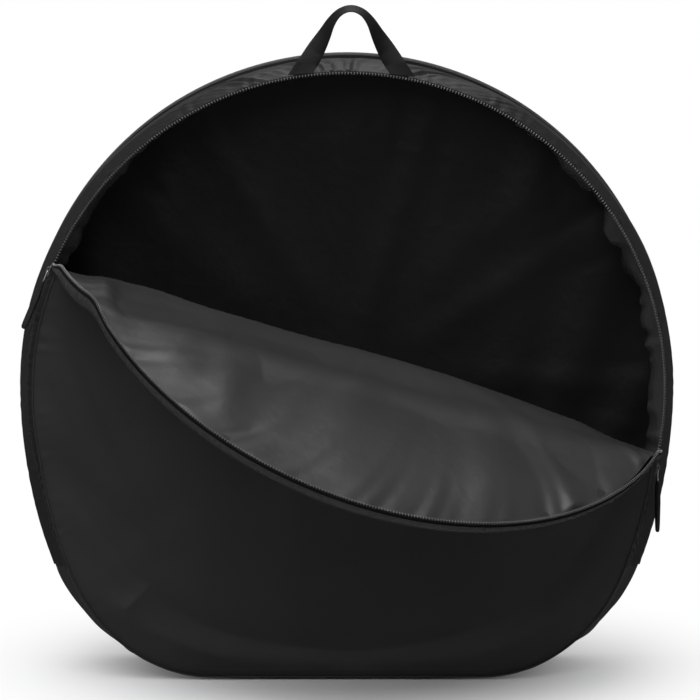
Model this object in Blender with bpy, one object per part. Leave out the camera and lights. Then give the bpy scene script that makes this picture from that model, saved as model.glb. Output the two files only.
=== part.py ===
"""A padded, round bag for one bicycle wheel, standing on its flat base with the zip run down to both ends.

The front panel is folded forward over an oblique fold. Lengths are metres and turns are degrees. The origin
is the middle of the underside, +X is left to right as seen from the front, -Y is the front and +Z is up.
Every ring of cloth is modelled shut. The bag is then cut along the fold and along the bend across the front,
and the two cut pieces hang on two empties that open them.
"""

import math
from functools import partial

import bmesh
import bpy
from mathutils import Matrix, Vector

# Driving sizes of the shell, in metres
SHELL_WIDTH = 0.756
SHELL_HEIGHT = 0.715
SHELL_DEPTH = 0.150
SIDE_RADIUS = 0.600
CORNER_RADIUS = 0.195
NYLON = 0.001
FOAM = 0.005
LINING = 0.0006
CLEARANCE = 0.0003

# Driving sizes of the opening: where the fold and the bend cross the front, and how far each is open
FOLD_ABOVE_CENTRE = 0.039
FOLD_TILT = 17.5
FOLD_OPEN = 95.0
BEND_REACH = 0.110
BEND_TILT = 26.7
BEND_OPEN = 25.0
CUT_GAP = 0.0006

# Driving sizes of the zip and of the front seam, set in from the shell's front and its outline
ZIP_SETBACK = 0.020
ZIP_INSET = 0.008
SEAM_INSET = 0.017

# Ring sampling, in degrees a step: finer below the zip's centre, where the gusset's lean changes on the way
TOP_STEP = 3.0
SIDE_STEP = 2.0
CORNER_STEP = 5.0


# The outline: a half circle over the top, a gentler arc down each side and a tighter one round each corner
TOP_RADIUS = SHELL_WIDTH / 2
CENTRE_Z = SHELL_HEIGHT - TOP_RADIUS
CORNER_SINE = (CENTRE_Z - CORNER_RADIUS) / (SIDE_RADIUS - CORNER_RADIUS)
CORNER_TURN = math.asin(CORNER_SINE)
SIDE_SHIFT = SIDE_RADIUS - TOP_RADIUS
BASE_HALF = (SIDE_RADIUS - CORNER_RADIUS) * math.cos(CORNER_TURN) - SIDE_SHIFT
BACK_Y = SHELL_DEPTH / 2
FRONT_Y = -BACK_Y
ZIP_Y = FRONT_Y + ZIP_SETBACK
ZIP_RADIUS = TOP_RADIUS - ZIP_INSET
SEAM_RADIUS = TOP_RADIUS - SEAM_INSET
UNDER_NYLON = NYLON + CLEARANCE
FOLD_HEIGHT = CENTRE_Z + FOLD_ABOVE_CENTRE


def outline_point(angle, inset):
    """The point (x, z) set in from the outline where it faces this angle, from -90 (base, right) to 270."""
    turn = math.radians(angle)
    side = 1 if angle < 90 else -1
    drop = -math.sin(turn)
    if drop <= 0:
        centre = Vector((0, CENTRE_Z))
        radius = TOP_RADIUS
    elif drop < CORNER_SINE:
        centre = Vector((-side * SIDE_SHIFT, CENTRE_Z))
        radius = SIDE_RADIUS
    else:
        centre = Vector((side * BASE_HALF, CORNER_RADIUS))
        radius = CORNER_RADIUS
    return centre + (radius - inset) * Vector((math.cos(turn), math.sin(turn)))


def circle_inset(angle, radius):
    """How far a circle about the zip's centre lies inside the outline, over the top and down the sides."""
    turn = math.radians(angle)
    if math.sin(turn) >= 0:
        return TOP_RADIUS - radius
    shift = SIDE_SHIFT * abs(math.cos(turn))
    return SIDE_RADIUS - shift - math.sqrt(shift**2 - SIDE_SHIFT**2 + radius**2)


def facing(polar, radius):
    """The angle that the outline faces where a circle about the zip's centre has this polar angle."""
    turn = math.radians(polar)
    across = radius * math.cos(turn)
    up = radius * math.sin(turn)
    if up >= 0:
        return polar
    side = 1 if across > 0 else -1
    lean = math.degrees(math.atan2(up, side * across + SIDE_SHIFT))
    return lean if side > 0 else 180 - lean


def seam_inset(angle, radius, side_limit, at_base):
    """A seam keeps to its circle over the top, to a limit down each side, and eases to its base value."""
    drop = -math.sin(math.radians(angle))
    if drop < CORNER_SINE:
        return min(circle_inset(angle, radius), side_limit)
    turned = (math.asin(min(drop, 1)) - CORNER_TURN) / (math.pi / 2 - CORNER_TURN)
    eased = turned * turned * (3 - 2 * turned)
    return side_limit + (at_base - side_limit) * eased


# The gusset's stations in depth: straight from the back seam to its crown, leaning in to the zip, level along
# the zip's tapes, and leaning in again to the front seam
CROWN_Y = -0.020
TAPE_SHOWN = 0.008
TAPE_WIDTH = 0.016
BAND_FRONT_Y = ZIP_Y + TAPE_SHOWN
STRIP_BACK_Y = ZIP_Y - TAPE_SHOWN
TAPE_BACK_Y = ZIP_Y + TAPE_WIDTH
ZIP_SIDE_INSET = 0.0145
ZIP_BASE_INSET = 0
FRONT_SIDE_INSET = 0.020
FRONT_BASE_INSET = 0.003


def front_seam_inset(angle):
    return seam_inset(angle, SEAM_RADIUS, FRONT_SIDE_INSET, FRONT_BASE_INSET)


def gusset_inset(angle, y):
    """How far the gusset's outer surface lies inside the outline at this depth."""
    at_zip = seam_inset(angle, ZIP_RADIUS, ZIP_SIDE_INSET, ZIP_BASE_INSET)
    if y >= CROWN_Y:
        return 0
    if y >= BAND_FRONT_Y:
        return at_zip * (CROWN_Y - y) / (CROWN_Y - BAND_FRONT_Y)
    if y >= STRIP_BACK_Y:
        return at_zip
    lean = (STRIP_BACK_Y - y) / (STRIP_BACK_Y - FRONT_Y)
    return at_zip + (front_seam_inset(angle) - at_zip) * lean


# Scene, collections and materials


def clear_scene():
    for thing in list(bpy.data.objects):
        bpy.data.objects.remove(thing, do_unlink=True)


def new_collection(name, hidden=False):
    found = bpy.data.collections.new(name)
    found.hide_render = hidden
    bpy.context.scene.collection.children.link(found)
    return found


def new_material(name, colour, roughness, metallic=0.0):
    made = bpy.data.materials.new(name)
    made.use_nodes = True
    shader = made.node_tree.nodes["Principled BSDF"]
    shader.inputs["Base Color"].default_value = (*colour, 1)
    shader.inputs["Roughness"].default_value = roughness
    shader.inputs["Metallic"].default_value = metallic
    return made


clear_scene()
BAG = new_collection("wheel_bag")
CUTTERS = new_collection("cutters", hidden=True)
MATERIALS = {
    "nylon": new_material("nylon", (0.012, 0.012, 0.013), 0.62),
    "foam": new_material("foam", (0.05, 0.05, 0.055), 0.9),
    "lining": new_material("lining", (0.008, 0.008, 0.009), 0.55),
    "coated_lining": new_material("coated_lining", (0.075, 0.075, 0.075), 0.45),
    "strip_nylon": new_material("strip_nylon", (0.03, 0.03, 0.032), 0.6),
    "tape": new_material("tape", (0.006, 0.006, 0.007), 0.7),
    "coil": new_material("coil", (0.01, 0.01, 0.011), 0.35),
    "webbing": new_material("webbing", (0.008, 0.008, 0.009), 0.75),
    "slider_metal": new_material("slider_metal", (0.02, 0.02, 0.022), 0.35, 0.9),
    "pull_rubber": new_material("pull_rubber", (0.01, 0.01, 0.011), 0.5),
    "board": new_material("board", (0.02, 0.02, 0.02), 0.5),
}


def finish(name, bm, material, parent=None, frame=None, smooth=40.0):
    """Writes the mesh to a named object, in its parent's frame, with its faces out and its flat faces crisp."""
    bmesh.ops.recalc_face_normals(bm, faces=bm.faces)
    if frame is not None:
        bmesh.ops.transform(bm, matrix=frame.inverted(), verts=bm.verts)
    mesh = bpy.data.meshes.new(name)
    bm.to_mesh(mesh)
    bm.free()
    mesh.shade_smooth()
    mesh.set_sharp_from_angle(angle=math.radians(smooth))
    mesh.materials.append(MATERIALS[material])
    made = bpy.data.objects.new(name, mesh)
    made.parent = parent
    BAG.objects.link(made)
    return made


# Ring pieces: a closed section carried along the outline, as a loft, because its lean changes on the way


def loft(rings):
    """A closed body through rings of points, each a loop of the same length.

    The second half of a loop runs back along the first, so its sides are split the other way. Layers that lie
    side by side then bend along the same lines and keep their gap.
    """
    bm = bmesh.new()
    loops = [[bm.verts.new(point) for point in ring] for ring in rings]
    count = len(loops[0])
    for first, second in zip(loops, loops[1:]):
        for k in range(count):
            after = (k + 1) % count
            corners = [first[k], first[after], second[after], second[k]]
            if k >= count // 2:
                corners = corners[1:] + corners[:1]
            bm.faces.new(corners)
    bmesh.ops.triangulate(bm, faces=bm.faces[:], quad_method="FIXED")
    bm.faces.new(loops[0])
    bm.faces.new(reversed(loops[-1]))
    return bm


def ring_angles(start, end):
    """Angles from start to end that also stop where two arcs of the outline meet."""
    turn = math.degrees(CORNER_TURN)
    stops = [start]
    stops += [a for a in (-turn, 0, 180, 180 + turn) if start < a < end]
    stops.append(end)
    angles = [start]
    for a, b in zip(stops, stops[1:]):
        drop = -math.sin(math.radians((a + b) / 2))
        step = TOP_STEP
        if drop > 0:
            step = SIDE_STEP if drop < CORNER_SINE else CORNER_STEP
        steps = max(1, math.ceil((b - a) / step))
        angles += [a + (b - a) * k / steps for k in range(1, steps + 1)]
    return angles


def band_section(angle, depths, outer, inner):
    """A slice of cloth that follows the gusset: its outer line front to back, then its inner line."""
    section = []
    for offset, line in ((outer, depths), (inner, reversed(depths))):
        for y in line:
            x, z = outline_point(angle, gusset_inset(angle, y) + offset)
            section.append((x, y, z))
    return section


def band(angles, front, back, outer, inner):
    """A band of cloth over these angles, between two depths and two offsets in from the gusset's surface."""
    knots = (STRIP_BACK_Y, BAND_FRONT_Y, TAPE_BACK_Y, CROWN_Y)
    depths = [front]
    depths += [y for y in knots if front < y < back]
    depths.append(back)
    return loft([band_section(a, depths, outer, inner) for a in angles])


def cord_section(angle, y, offset, radius, sides):
    """A round slice that lies in the gusset's surface, as a zip's coil does."""
    middle = gusset_inset(angle, y) + offset
    section = []
    for k in range(sides):
        turn = 2 * math.pi * k / sides
        x, z = outline_point(angle, middle + radius * math.cos(turn))
        section.append((x, y + radius * math.sin(turn), z))
    return section


# The fold and the bend: two lines across the shut front, each a frame whose x axis runs along it, left to right


def line_frame(through, tilt):
    return Matrix.Translation(through) @ Matrix.Rotation(math.radians(tilt), 4, "Y")


FOLD_SHUT = line_frame(Vector((0, FRONT_Y, FOLD_HEIGHT)), FOLD_TILT)
FOLD_UP = FOLD_SHUT.to_3x3() @ Vector((0, 0, 1))
FOLD_FROM_CENTRE = FOLD_ABOVE_CENTRE * math.cos(math.radians(FOLD_TILT))
CHORD_MIDDLE = Vector((0, FRONT_Y, CENTRE_Z)) + FOLD_UP * FOLD_FROM_CENTRE
BEND_SHUT = line_frame(CHORD_MIDDLE + FOLD_UP * BEND_REACH, BEND_TILT)


def hinge_empty(name, parent, local):
    made = bpy.data.objects.new(name, None)
    made.parent = parent
    made.matrix_local = local
    BAG.objects.link(made)
    return made


def opened(degrees):
    return Matrix.Rotation(math.radians(degrees), 4, "X")


FOLD_HINGE = hinge_empty("fold_hinge", None, FOLD_SHUT @ opened(FOLD_OPEN))
BEND_HINGE = hinge_empty(
    "bend_hinge", FOLD_HINGE, FOLD_SHUT.inverted() @ BEND_SHUT @ opened(BEND_OPEN)
)


def keep_side(bm, through, normal):
    """Cuts the body along a plane, keeps what lies on the normal's side and closes the cut."""
    cut = bmesh.ops.bisect_plane(
        bm,
        geom=bm.verts[:] + bm.edges[:] + bm.faces[:],
        plane_co=through,
        plane_no=normal,
        clear_inner=True,
    )
    rim = [e for e in cut["geom_cut"] if isinstance(e, bmesh.types.BMEdge)]
    bmesh.ops.holes_fill(bm, edges=rim, sides=0)


def keep_of_front(bm, frame, above):
    """Keeps the part of a shut body above or below the fold or the bend, half the cut's gap away from it."""
    up = frame.to_3x3() @ Vector((0, 0, 1))
    if not above:
        up = -up
    keep_side(bm, frame.translation + up * CUT_GAP / 2, up)


def keep_half(bm, side):
    """Keeps the left (-1) or the right (1) of a body."""
    keep_side(bm, Vector((0, 0, 0)), Vector((side, 0, 0)))


WHOLE = (("", 0),)
HALVES = (("_left", -1), ("_right", 1))


def cut_below_fold(name, make, material, parts):
    """What stays up of one shut piece of the front, whole or in halves."""
    for suffix, side in parts:
        bm = make()
        keep_of_front(bm, FOLD_SHUT, above=False)
        if side:
            keep_half(bm, side)
        finish(name + suffix, bm, material)


def cut_above_fold(name, make, material, near_parts):
    """What folds down of one shut piece of the front, cut at the bend: near parts, then one far part."""
    for suffix, side in near_parts:
        bm = make()
        keep_of_front(bm, FOLD_SHUT, above=True)
        keep_of_front(bm, BEND_SHUT, above=False)
        if side:
            keep_half(bm, side)
        finish("flap_near_" + name + suffix, bm, material, FOLD_HINGE, FOLD_SHUT)
    bm = make()
    keep_of_front(bm, FOLD_SHUT, above=True)
    keep_of_front(bm, BEND_SHUT, above=True)
    finish("flap_far_" + name, bm, material, BEND_HINGE, BEND_SHUT)


# Panels: flat layers between two depths, filled outlines given a thickness


def panel(angles, inset_at, front, back):
    bm = bmesh.new()
    corners = []
    for angle in angles:
        x, z = outline_point(angle, inset_at(angle))
        corners.append(bm.verts.new((x, front, z)))
    face = bm.faces.new(corners)
    grown = bmesh.ops.extrude_face_region(bm, geom=[face])
    moved = [v for v in grown["geom"] if isinstance(v, bmesh.types.BMVert)]
    bmesh.ops.translate(bm, verts=moved, vec=Vector((0, back - front, 0)))
    return bm


WHOLE_OUTLINE = ring_angles(-90, 270)
LINING_DEEP = UNDER_NYLON + FOAM + CLEARANCE
PANEL_DEEP = LINING_DEEP + LINING


def back_edge(_angle):
    """The back panel's layers fit inside the gusset's cloth, all the way round."""
    return UNDER_NYLON


def make_back():
    for name, start, thick, material in (
        ("back_outer", 0, NYLON, "nylon"),
        ("back_foam", UNDER_NYLON, FOAM, "foam"),
        ("back_lining", LINING_DEEP, LINING, "lining"),
    ):
        bm = panel(WHOLE_OUTLINE, back_edge, BACK_Y - start - thick, BACK_Y - start)
        finish(name, bm, material)


def front_edge(angle):
    """The front panel's layers fit inside the front strip."""
    return front_seam_inset(angle) + UNDER_NYLON


def make_front():
    for name, start, thick, material in (
        ("front_outer", 0, NYLON, "nylon"),
        ("front_foam", UNDER_NYLON, FOAM, "foam"),
        ("front_lining", LINING_DEEP, LINING, "coated_lining"),
    ):
        near_y = FRONT_Y + start
        layer = partial(panel, WHOLE_OUTLINE, front_edge, near_y, near_y + thick)
        cut_below_fold(name, layer, material, WHOLE)
        cut_above_fold(name, layer, material, WHOLE)


# The gusset: a wide band behind the zip, a narrow one before it, and one band round the base

SEAM_TURN = math.degrees(CLEARANCE / SIDE_RADIUS)
CROSS_SEAM = math.degrees(CORNER_TURN)
TOP_ANGLES = ring_angles(SEAM_TURN / 2 - CROSS_SEAM, 180 + CROSS_SEAM - SEAM_TURN / 2)


def base_angles():
    """The left corner, then the right one. The loft runs straight between them, as the flat base."""
    left = ring_angles(180 + CROSS_SEAM + SEAM_TURN / 2, 270)
    right = ring_angles(-90, -CROSS_SEAM - SEAM_TURN / 2)
    return left + right


def make_gusset():
    wide = band(TOP_ANGLES, BAND_FRONT_Y, BACK_Y, 0, NYLON)
    finish("gusset_band", wide, "strip_nylon")
    lining_front = TAPE_BACK_Y + CLEARANCE
    lining_back = BACK_Y - PANEL_DEEP - CLEARANCE
    over_lining = UNDER_NYLON + LINING
    lining = band(TOP_ANGLES, lining_front, lining_back, UNDER_NYLON, over_lining)
    finish("gusset_lining", lining, "lining")
    strip = partial(band, TOP_ANGLES, FRONT_Y, STRIP_BACK_Y, 0, NYLON)
    cut_below_fold("front_strip", strip, "strip_nylon", HALVES)
    cut_above_fold("front_strip", strip, "strip_nylon", HALVES)


def make_base():
    finish("base_band", band(base_angles(), FRONT_Y, BACK_Y, 0, NYLON), "nylon")
    board_thick = 0.002
    board_front = ZIP_Y + CLEARANCE
    board_back = BACK_Y - PANEL_DEEP - CLEARANCE
    board_corner = 0.012
    corner_steps = 4
    round_profile = 0.5
    bm = bmesh.new()
    bmesh.ops.create_cube(bm, size=1)
    board_size = (2 * BASE_HALF, board_back - board_front, board_thick)
    bmesh.ops.scale(bm, vec=board_size, verts=bm.verts)
    upright = [
        e for e in bm.edges if abs(e.verts[0].co.z - e.verts[1].co.z) > board_thick / 2
    ]
    bmesh.ops.bevel(
        bm,
        geom=upright,
        offset=board_corner,
        segments=corner_steps,
        profile=round_profile,
        affect="EDGES",
    )
    place = Vector((0, (board_back + board_front) / 2, UNDER_NYLON + board_thick / 2))
    bmesh.ops.translate(bm, verts=bm.verts, vec=place)
    finish("base_board", bm, "board")
    over_board = UNDER_NYLON + board_thick + CLEARANCE
    lining_front = FRONT_Y + PANEL_DEEP + CLEARANCE
    lining = band(
        base_angles(), lining_front, board_back, over_board, over_board + LINING
    )
    finish("base_lining", lining, "lining")


def make_piping():
    """A piped edge round the back seam, as a closed round tube just behind the panel's edge."""
    piping_radius = 0.0018
    piping_inset = 0.0022
    tube = bpy.data.curves.new("back_piping", "CURVE")
    tube.dimensions = "3D"
    tube.bevel_depth = piping_radius
    tube.bevel_resolution = 1
    line = tube.splines.new("POLY")
    line.points.add(len(WHOLE_OUTLINE) - 1)
    line.use_cyclic_u = True
    for point, angle in zip(line.points, WHOLE_OUTLINE):
        x, z = outline_point(angle, piping_inset)
        point.co = (x, BACK_Y + CLEARANCE + piping_radius, z, 1)
    tube.materials.append(MATERIALS["nylon"])
    BAG.objects.link(bpy.data.objects.new("back_piping", tube))


# The zip: a tape and a coil each side of the zip's middle line, and a closed end below each slider

COIL_RADIUS = 0.0014
COIL_APART = 0.0018
COIL_SIDES = 6
TAPE = 0.0008
LEFT_PAST_FOLD = 1.17
RIGHT_PAST_FOLD = 2.67
SLIDER_LENGTH = 0.014
TAPE_PAST_SHARE = 0.75
END_GAP_SHARE = 0.1
FOLD_REACH = math.degrees(math.acos(FOLD_FROM_CENTRE / ZIP_RADIUS))
ZIP_LEFT_END = 90 - FOLD_TILT + FOLD_REACH + LEFT_PAST_FOLD
ZIP_RIGHT_END = 90 - FOLD_TILT - FOLD_REACH - RIGHT_PAST_FOLD
COIL_OFFSET = UNDER_NYLON + TAPE / 2
SLIDER_TURN = math.degrees(SLIDER_LENGTH / ZIP_RADIUS)
COIL_Y = COIL_APART / 2 + COIL_RADIUS
TAPE_EDGE = COIL_Y + COIL_RADIUS + CLEARANCE
TAPE_IN = COIL_OFFSET - TAPE / 2
TAPE_OUT = COIL_OFFSET + TAPE / 2


def coil(side, angles):
    """A coil as one smooth cord in the gusset's surface, behind (1) or before (-1) the zip's middle line."""
    rings = []
    for angle in angles:
        y = ZIP_Y + side * COIL_Y
        rings.append(cord_section(angle, y, COIL_OFFSET, COIL_RADIUS, COIL_SIDES))
    return loft(rings)


def make_zip():
    """The back tape and coil run from one slider to the other, and the front ones fold down with the flap."""
    past = SLIDER_TURN * TAPE_PAST_SHARE
    fixed = ring_angles(facing(ZIP_RIGHT_END - past, ZIP_RADIUS), ZIP_LEFT_END + past)
    tape = band(fixed, ZIP_Y + TAPE_EDGE, TAPE_BACK_Y, TAPE_IN, TAPE_OUT)
    finish("zip_tape_back", tape, "tape")
    finish("zip_coil_back", coil(1, fixed), "coil")
    front_y = ZIP_Y - TAPE_WIDTH
    front_tape = partial(band, TOP_ANGLES, front_y, ZIP_Y - TAPE_EDGE, TAPE_IN, TAPE_OUT)
    front_coil = partial(coil, -1, TOP_ANGLES)
    cut_above_fold("zip_tape", front_tape, "tape", HALVES)
    cut_above_fold("zip_coil", front_coil, "coil", HALVES)
    below = past + SLIDER_TURN * END_GAP_SHARE
    front = STRIP_BACK_Y + CLEARANCE
    back = BAND_FRONT_Y - CLEARANCE
    right_start = facing(ZIP_RIGHT_END - below, ZIP_RADIUS)
    for name, start, end in (
        ("zip_end_left", ZIP_LEFT_END + below, TOP_ANGLES[-1]),
        ("zip_end_right", TOP_ANGLES[0], right_start),
    ):
        finish(name, band(ring_angles(start, end), front, back, 0, NYLON), "nylon")


# The sliders: two plates with turned-in lips, a post between the coils, and a bridge that carries the pull

SLIDER_PLAY = 0.0004
PLATE = 0.0011
PLATE_GAP = COIL_RADIUS + SLIDER_PLAY
LIP = 0.001
LIP_GAP = TAPE / 2 + SLIDER_PLAY
SLIDER_HALF = COIL_Y + COIL_RADIUS + SLIDER_PLAY + LIP
POST_HALF = COIL_APART / 2 - CLEARANCE
POST_SHARE = 0.3
BRIDGE_LENGTH = 0.009
BRIDGE_WIDE = 0.0024
BRIDGE_HIGH = 0.0033
BRIDGE_WALL = 0.0012
WIRE = 0.0007
SINK = 0.0002
PLATE_TOP = PLATE_GAP + PLATE
EYE_OUT = PLATE_TOP + CLEARANCE + WIRE
SLIDER_RADIUS = ZIP_RADIUS - COIL_OFFSET


def box(low, high):
    bm = bmesh.new()
    bmesh.ops.create_cube(bm, size=1)
    low = Vector(low)
    high = Vector(high)
    bmesh.ops.scale(bm, vec=high - low, verts=bm.verts)
    bmesh.ops.translate(bm, vec=(low + high) / 2, verts=bm.verts)
    return bm


def combine(target, operation, name, span, parent):
    """Adds a box to a piece or cuts one from it, as a Boolean step."""
    mesh = bpy.data.meshes.new(name)
    bm = box(*span)
    bm.to_mesh(mesh)
    bm.free()
    tool = bpy.data.objects.new(name, mesh)
    tool.hide_render = True
    tool.display_type = "WIRE"
    tool.parent = parent
    CUTTERS.objects.link(tool)
    step = target.modifiers.new(name, "BOOLEAN")
    step.operation = operation
    step.object = tool


def make_slider(side, polar):
    """side is 1 where closing the zip runs anticlockwise, seen from the front, and -1 where clockwise."""
    name = "slider_right" if side > 0 else "slider_left"
    around = Matrix.Rotation(-math.radians(polar), 4, "Y")
    hinge = hinge_empty(
        name + "_hinge", None, Matrix.Translation((0, ZIP_Y, CENTRE_Z)) @ around
    )

    def span(out_low, out_high, half_wide, along_low, along_high):
        """A box given outwards from the coils, evenly across the zip, and along it towards the closed end."""
        first, last = sorted((side * along_low, side * along_high))
        low = (SLIDER_RADIUS + out_low, -half_wide, first)
        return low, (SLIDER_RADIUS + out_high, half_wide, last)

    half = SLIDER_LENGTH / 2
    upper = box(*span(PLATE_GAP, PLATE_TOP, SLIDER_HALF, -half, half))
    body = finish(name, upper, "slider_metal", hinge, smooth=30.0)
    added = {"_plate": span(-PLATE_TOP, -PLATE_GAP, SLIDER_HALF, -half, half)}
    for word, out in (("_upper_lips", 1), ("_lower_lips", -1)):
        low, high = sorted((out * LIP_GAP, out * (PLATE_GAP + SINK)))
        added[word] = span(low, high, SLIDER_HALF, -half, half)
    for word, part in added.items():
        combine(body, "UNION", name + word, part, hinge)
    channel = span(-PLATE_GAP, PLATE_GAP, SLIDER_HALF - LIP, -half - SINK, half + SINK)
    combine(body, "DIFFERENCE", name + "_channel", channel, hinge)
    post_start = half - SLIDER_LENGTH * POST_SHARE
    joint = PLATE_GAP + SINK
    post = span(-joint, joint, POST_HALF, post_start, half - SINK)
    combine(body, "UNION", name + "_post", post, hinge)
    bridge_half = BRIDGE_LENGTH / 2
    bridge_top = PLATE_TOP + BRIDGE_HIGH
    bridge = span(
        PLATE_TOP - SINK, bridge_top, BRIDGE_WIDE / 2, -bridge_half, bridge_half
    )
    combine(body, "UNION", name + "_bridge", bridge, hinge)
    under = bridge_top - BRIDGE_WALL
    inside = bridge_half - BRIDGE_WALL
    window = span(PLATE_TOP, under, BRIDGE_WIDE, -inside, inside)
    combine(body, "DIFFERENCE", name + "_window", window, hinge)
    return hinge


RING_HALF = 0.0040
RING_LENGTH = 0.0095
RING_CORNER = 0.0014
PULL_LENGTH = 0.061
PULL_HALF = 0.0038
PULL_THIN = 0.0030
PULL_THICK = 0.0048
PULL_EYE = 0.0022
PULL_SIDES = 12

# The pull's outline: its share of the length, of the width, and of the way from thin to thick
PULL_SWELL_SHARES = (
    (0, 0.62, 0),
    (0.03, 0.72, 0),
    (0.15, 0.9, 0.35),
    (0.45, 1.0, 1.0),
    (0.85, 1.0, 0.85),
    (0.97, 0.85, 0.5),
    (1.0, 0.6, 0.2),
)


def make_ring(name, side, eye):
    """A rounded wire ring: one side lies in the slider's bridge and the other in the pull's slot."""
    wire = bpy.data.curves.new(name, "CURVE")
    wire.dimensions = "3D"
    wire.bevel_depth = WIRE
    wire.bevel_resolution = 1
    line = wire.splines.new("POLY")
    far = RING_LENGTH - RING_CORNER
    inner = RING_HALF - RING_CORNER
    route = [(-inner, 0), (inner, 0), (RING_HALF, RING_CORNER), (RING_HALF, far)]
    route += [(inner, RING_LENGTH), (-inner, RING_LENGTH)]
    route += [(-RING_HALF, far), (-RING_HALF, RING_CORNER)]
    line.points.add(len(route) - 1)
    line.use_cyclic_u = True
    for point, (y, along) in zip(line.points, route):
        point.co = (0, y, -side * along, 1)
    wire.materials.append(MATERIALS["slider_metal"])
    ring = bpy.data.objects.new(name, wire)
    ring.parent = eye
    BAG.objects.link(ring)


def make_pull(side, hinge, rest):
    """A wire ring through the bridge and a moulded pull on it, hanging back along the zip."""
    name = "right" if side > 0 else "left"
    turn = Matrix.Rotation(math.radians(-side * rest), 4, "Y")
    out = Matrix.Translation((SLIDER_RADIUS + EYE_OUT, 0, 0))
    eye = hinge_empty("pull_%s_hinge" % name, hinge, out @ turn)
    make_ring("pull_ring_" + name, side, eye)
    start = RING_LENGTH - PULL_EYE
    rings = []
    for along_share, wide_share, thick_share in PULL_SWELL_SHARES:
        along = start + (PULL_LENGTH - start) * along_share
        wide = PULL_HALF * wide_share
        thick = (PULL_THIN + (PULL_THICK - PULL_THIN) * thick_share) / 2
        ring = []
        for k in range(PULL_SIDES):
            around = 2 * math.pi * k / PULL_SIDES
            ring.append((thick * math.sin(around), wide * math.cos(around), -side * along))
        rings.append(ring)
    grip = finish("pull_" + name, loft(rings), "pull_rubber", eye)
    gap = WIRE + CLEARANCE
    low, high = sorted((-side * (RING_LENGTH + gap), -side * start / 2))
    slot = (-gap, -PULL_HALF, low), (gap, PULL_HALF, high)
    combine(grip, "DIFFERENCE", "pull_%s_slot" % name, slot, eye)


# The handle: one webbing loop, face to the front at its feet and turned up at its top, on two sewn feet

HANDLE_X = 0.005
HANDLE_Y = -0.044
HANDLE_SPREAD = 0.060
HANDLE_RISE = 0.074
HANDLE_ARCH = 0.034
HANDLE_TURN = 72.0
FLAT_AT_FOOT_SHARE = 0.14
WEBBING_WIDE = 0.026
WEBBING = 0.0016
FOOT_LONG = 0.025
FOOT_GAP = 0.0009


def handle_route():
    """Points up the left leg, over the arch and down the right leg, with each one's outward direction."""
    up = HANDLE_RISE - HANDLE_ARCH
    far = math.hypot(HANDLE_SPREAD, up)
    lean = math.atan2(up, HANDLE_SPREAD) + math.asin(HANDLE_ARCH / far)
    leg = math.sqrt(far**2 - HANDLE_ARCH**2)
    leg_steps = 6
    arch_steps = 12
    route = []
    for k in range(leg_steps):
        along = Vector((math.cos(lean), math.sin(lean))) * leg * k / leg_steps
        route.append((Vector((-HANDLE_SPREAD, 0)) + along, math.pi / 2 + lean))
    for k in range(arch_steps + 1):
        out = math.pi / 2 + lean - 2 * lean * k / arch_steps
        middle = Vector((0, up))
        point = middle + HANDLE_ARCH * Vector((math.cos(out), math.sin(out)))
        route.append((point, out))
    for k in reversed(range(leg_steps)):
        point, out = route[k]
        route.append((Vector((-point.x, point.y)), math.pi - out))
    return route


def foot_top(x):
    """How high the sewn foot's upper face is under a point of the handle."""
    inset = gusset_inset(90, HANDLE_Y) - CLEARANCE - WEBBING
    radius = TOP_RADIUS - inset
    return CENTRE_Z + math.sqrt(radius**2 - x**2)


def make_handle():
    route = handle_route()
    length = [0]
    for (a, _), (b, _) in zip(route, route[1:]):
        length.append(length[-1] + (b - a).length)
    base = foot_top(HANDLE_X - HANDLE_SPREAD)
    axis_z = foot_top(HANDLE_X - HANDLE_SPREAD + WEBBING_WIDE / 2) + FOOT_GAP
    rings = []
    for (point, out), along in zip(route, length):
        share = 1 - abs(2 * along / length[-1] - 1)
        turned = max(0, share - FLAT_AT_FOOT_SHARE) / (1 - FLAT_AT_FOOT_SHARE)
        turn = math.radians(HANDLE_TURN) * math.sin(turned * math.pi / 2)
        outward = Vector((math.cos(out), 0, math.sin(out)))
        across = outward * math.cos(turn) + Vector((0, 1, 0)) * math.sin(turn)
        forward = Vector((math.sin(out), 0, -math.cos(out)))
        through = forward.cross(across)
        middle = Vector((HANDLE_X + point.x, HANDLE_Y, base + point.y))
        rings.append(
            [
                middle + across * WEBBING_WIDE / 2 * a + through * WEBBING / 2 * b
                for a, b in ((1, 1), (1, -1), (-1, -1), (-1, 1))
            ]
        )
    for ring, inner in ((rings[0], rings[1]), (rings[-1], rings[-2])):
        for k, (corner, above) in enumerate(zip(ring, inner)):
            rise = above - corner
            share = (foot_top(corner.x) + FOOT_GAP - corner.z) / rise.z
            ring[k] = corner + rise * share
    foot_line = Matrix.Translation((HANDLE_X, HANDLE_Y, axis_z))
    hinge = hinge_empty("handle_hinge", None, foot_line)
    finish("handle", loft(rings), "webbing", hinge, foot_line, smooth=50.0)
    half_turn = math.degrees(WEBBING_WIDE / 2 / TOP_RADIUS)
    for name, side in (("handle_foot_left", -1), ("handle_foot_right", 1)):
        across = HANDLE_X + side * HANDLE_SPREAD
        polar = math.degrees(math.acos(across / TOP_RADIUS))
        angles = ring_angles(polar - half_turn, polar + half_turn)
        bm = band(
            angles,
            HANDLE_Y - WEBBING / 2,
            HANDLE_Y + FOOT_LONG,
            -CLEARANCE - WEBBING,
            -CLEARANCE,
        )
        finish(name, bm, "webbing")


# Each pull's turn away from the zip's line: the left one lies along it, and the right one hangs plumb
LEFT_PULL_REST = 1.0
RIGHT_PULL_REST = -ZIP_RIGHT_END

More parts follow.
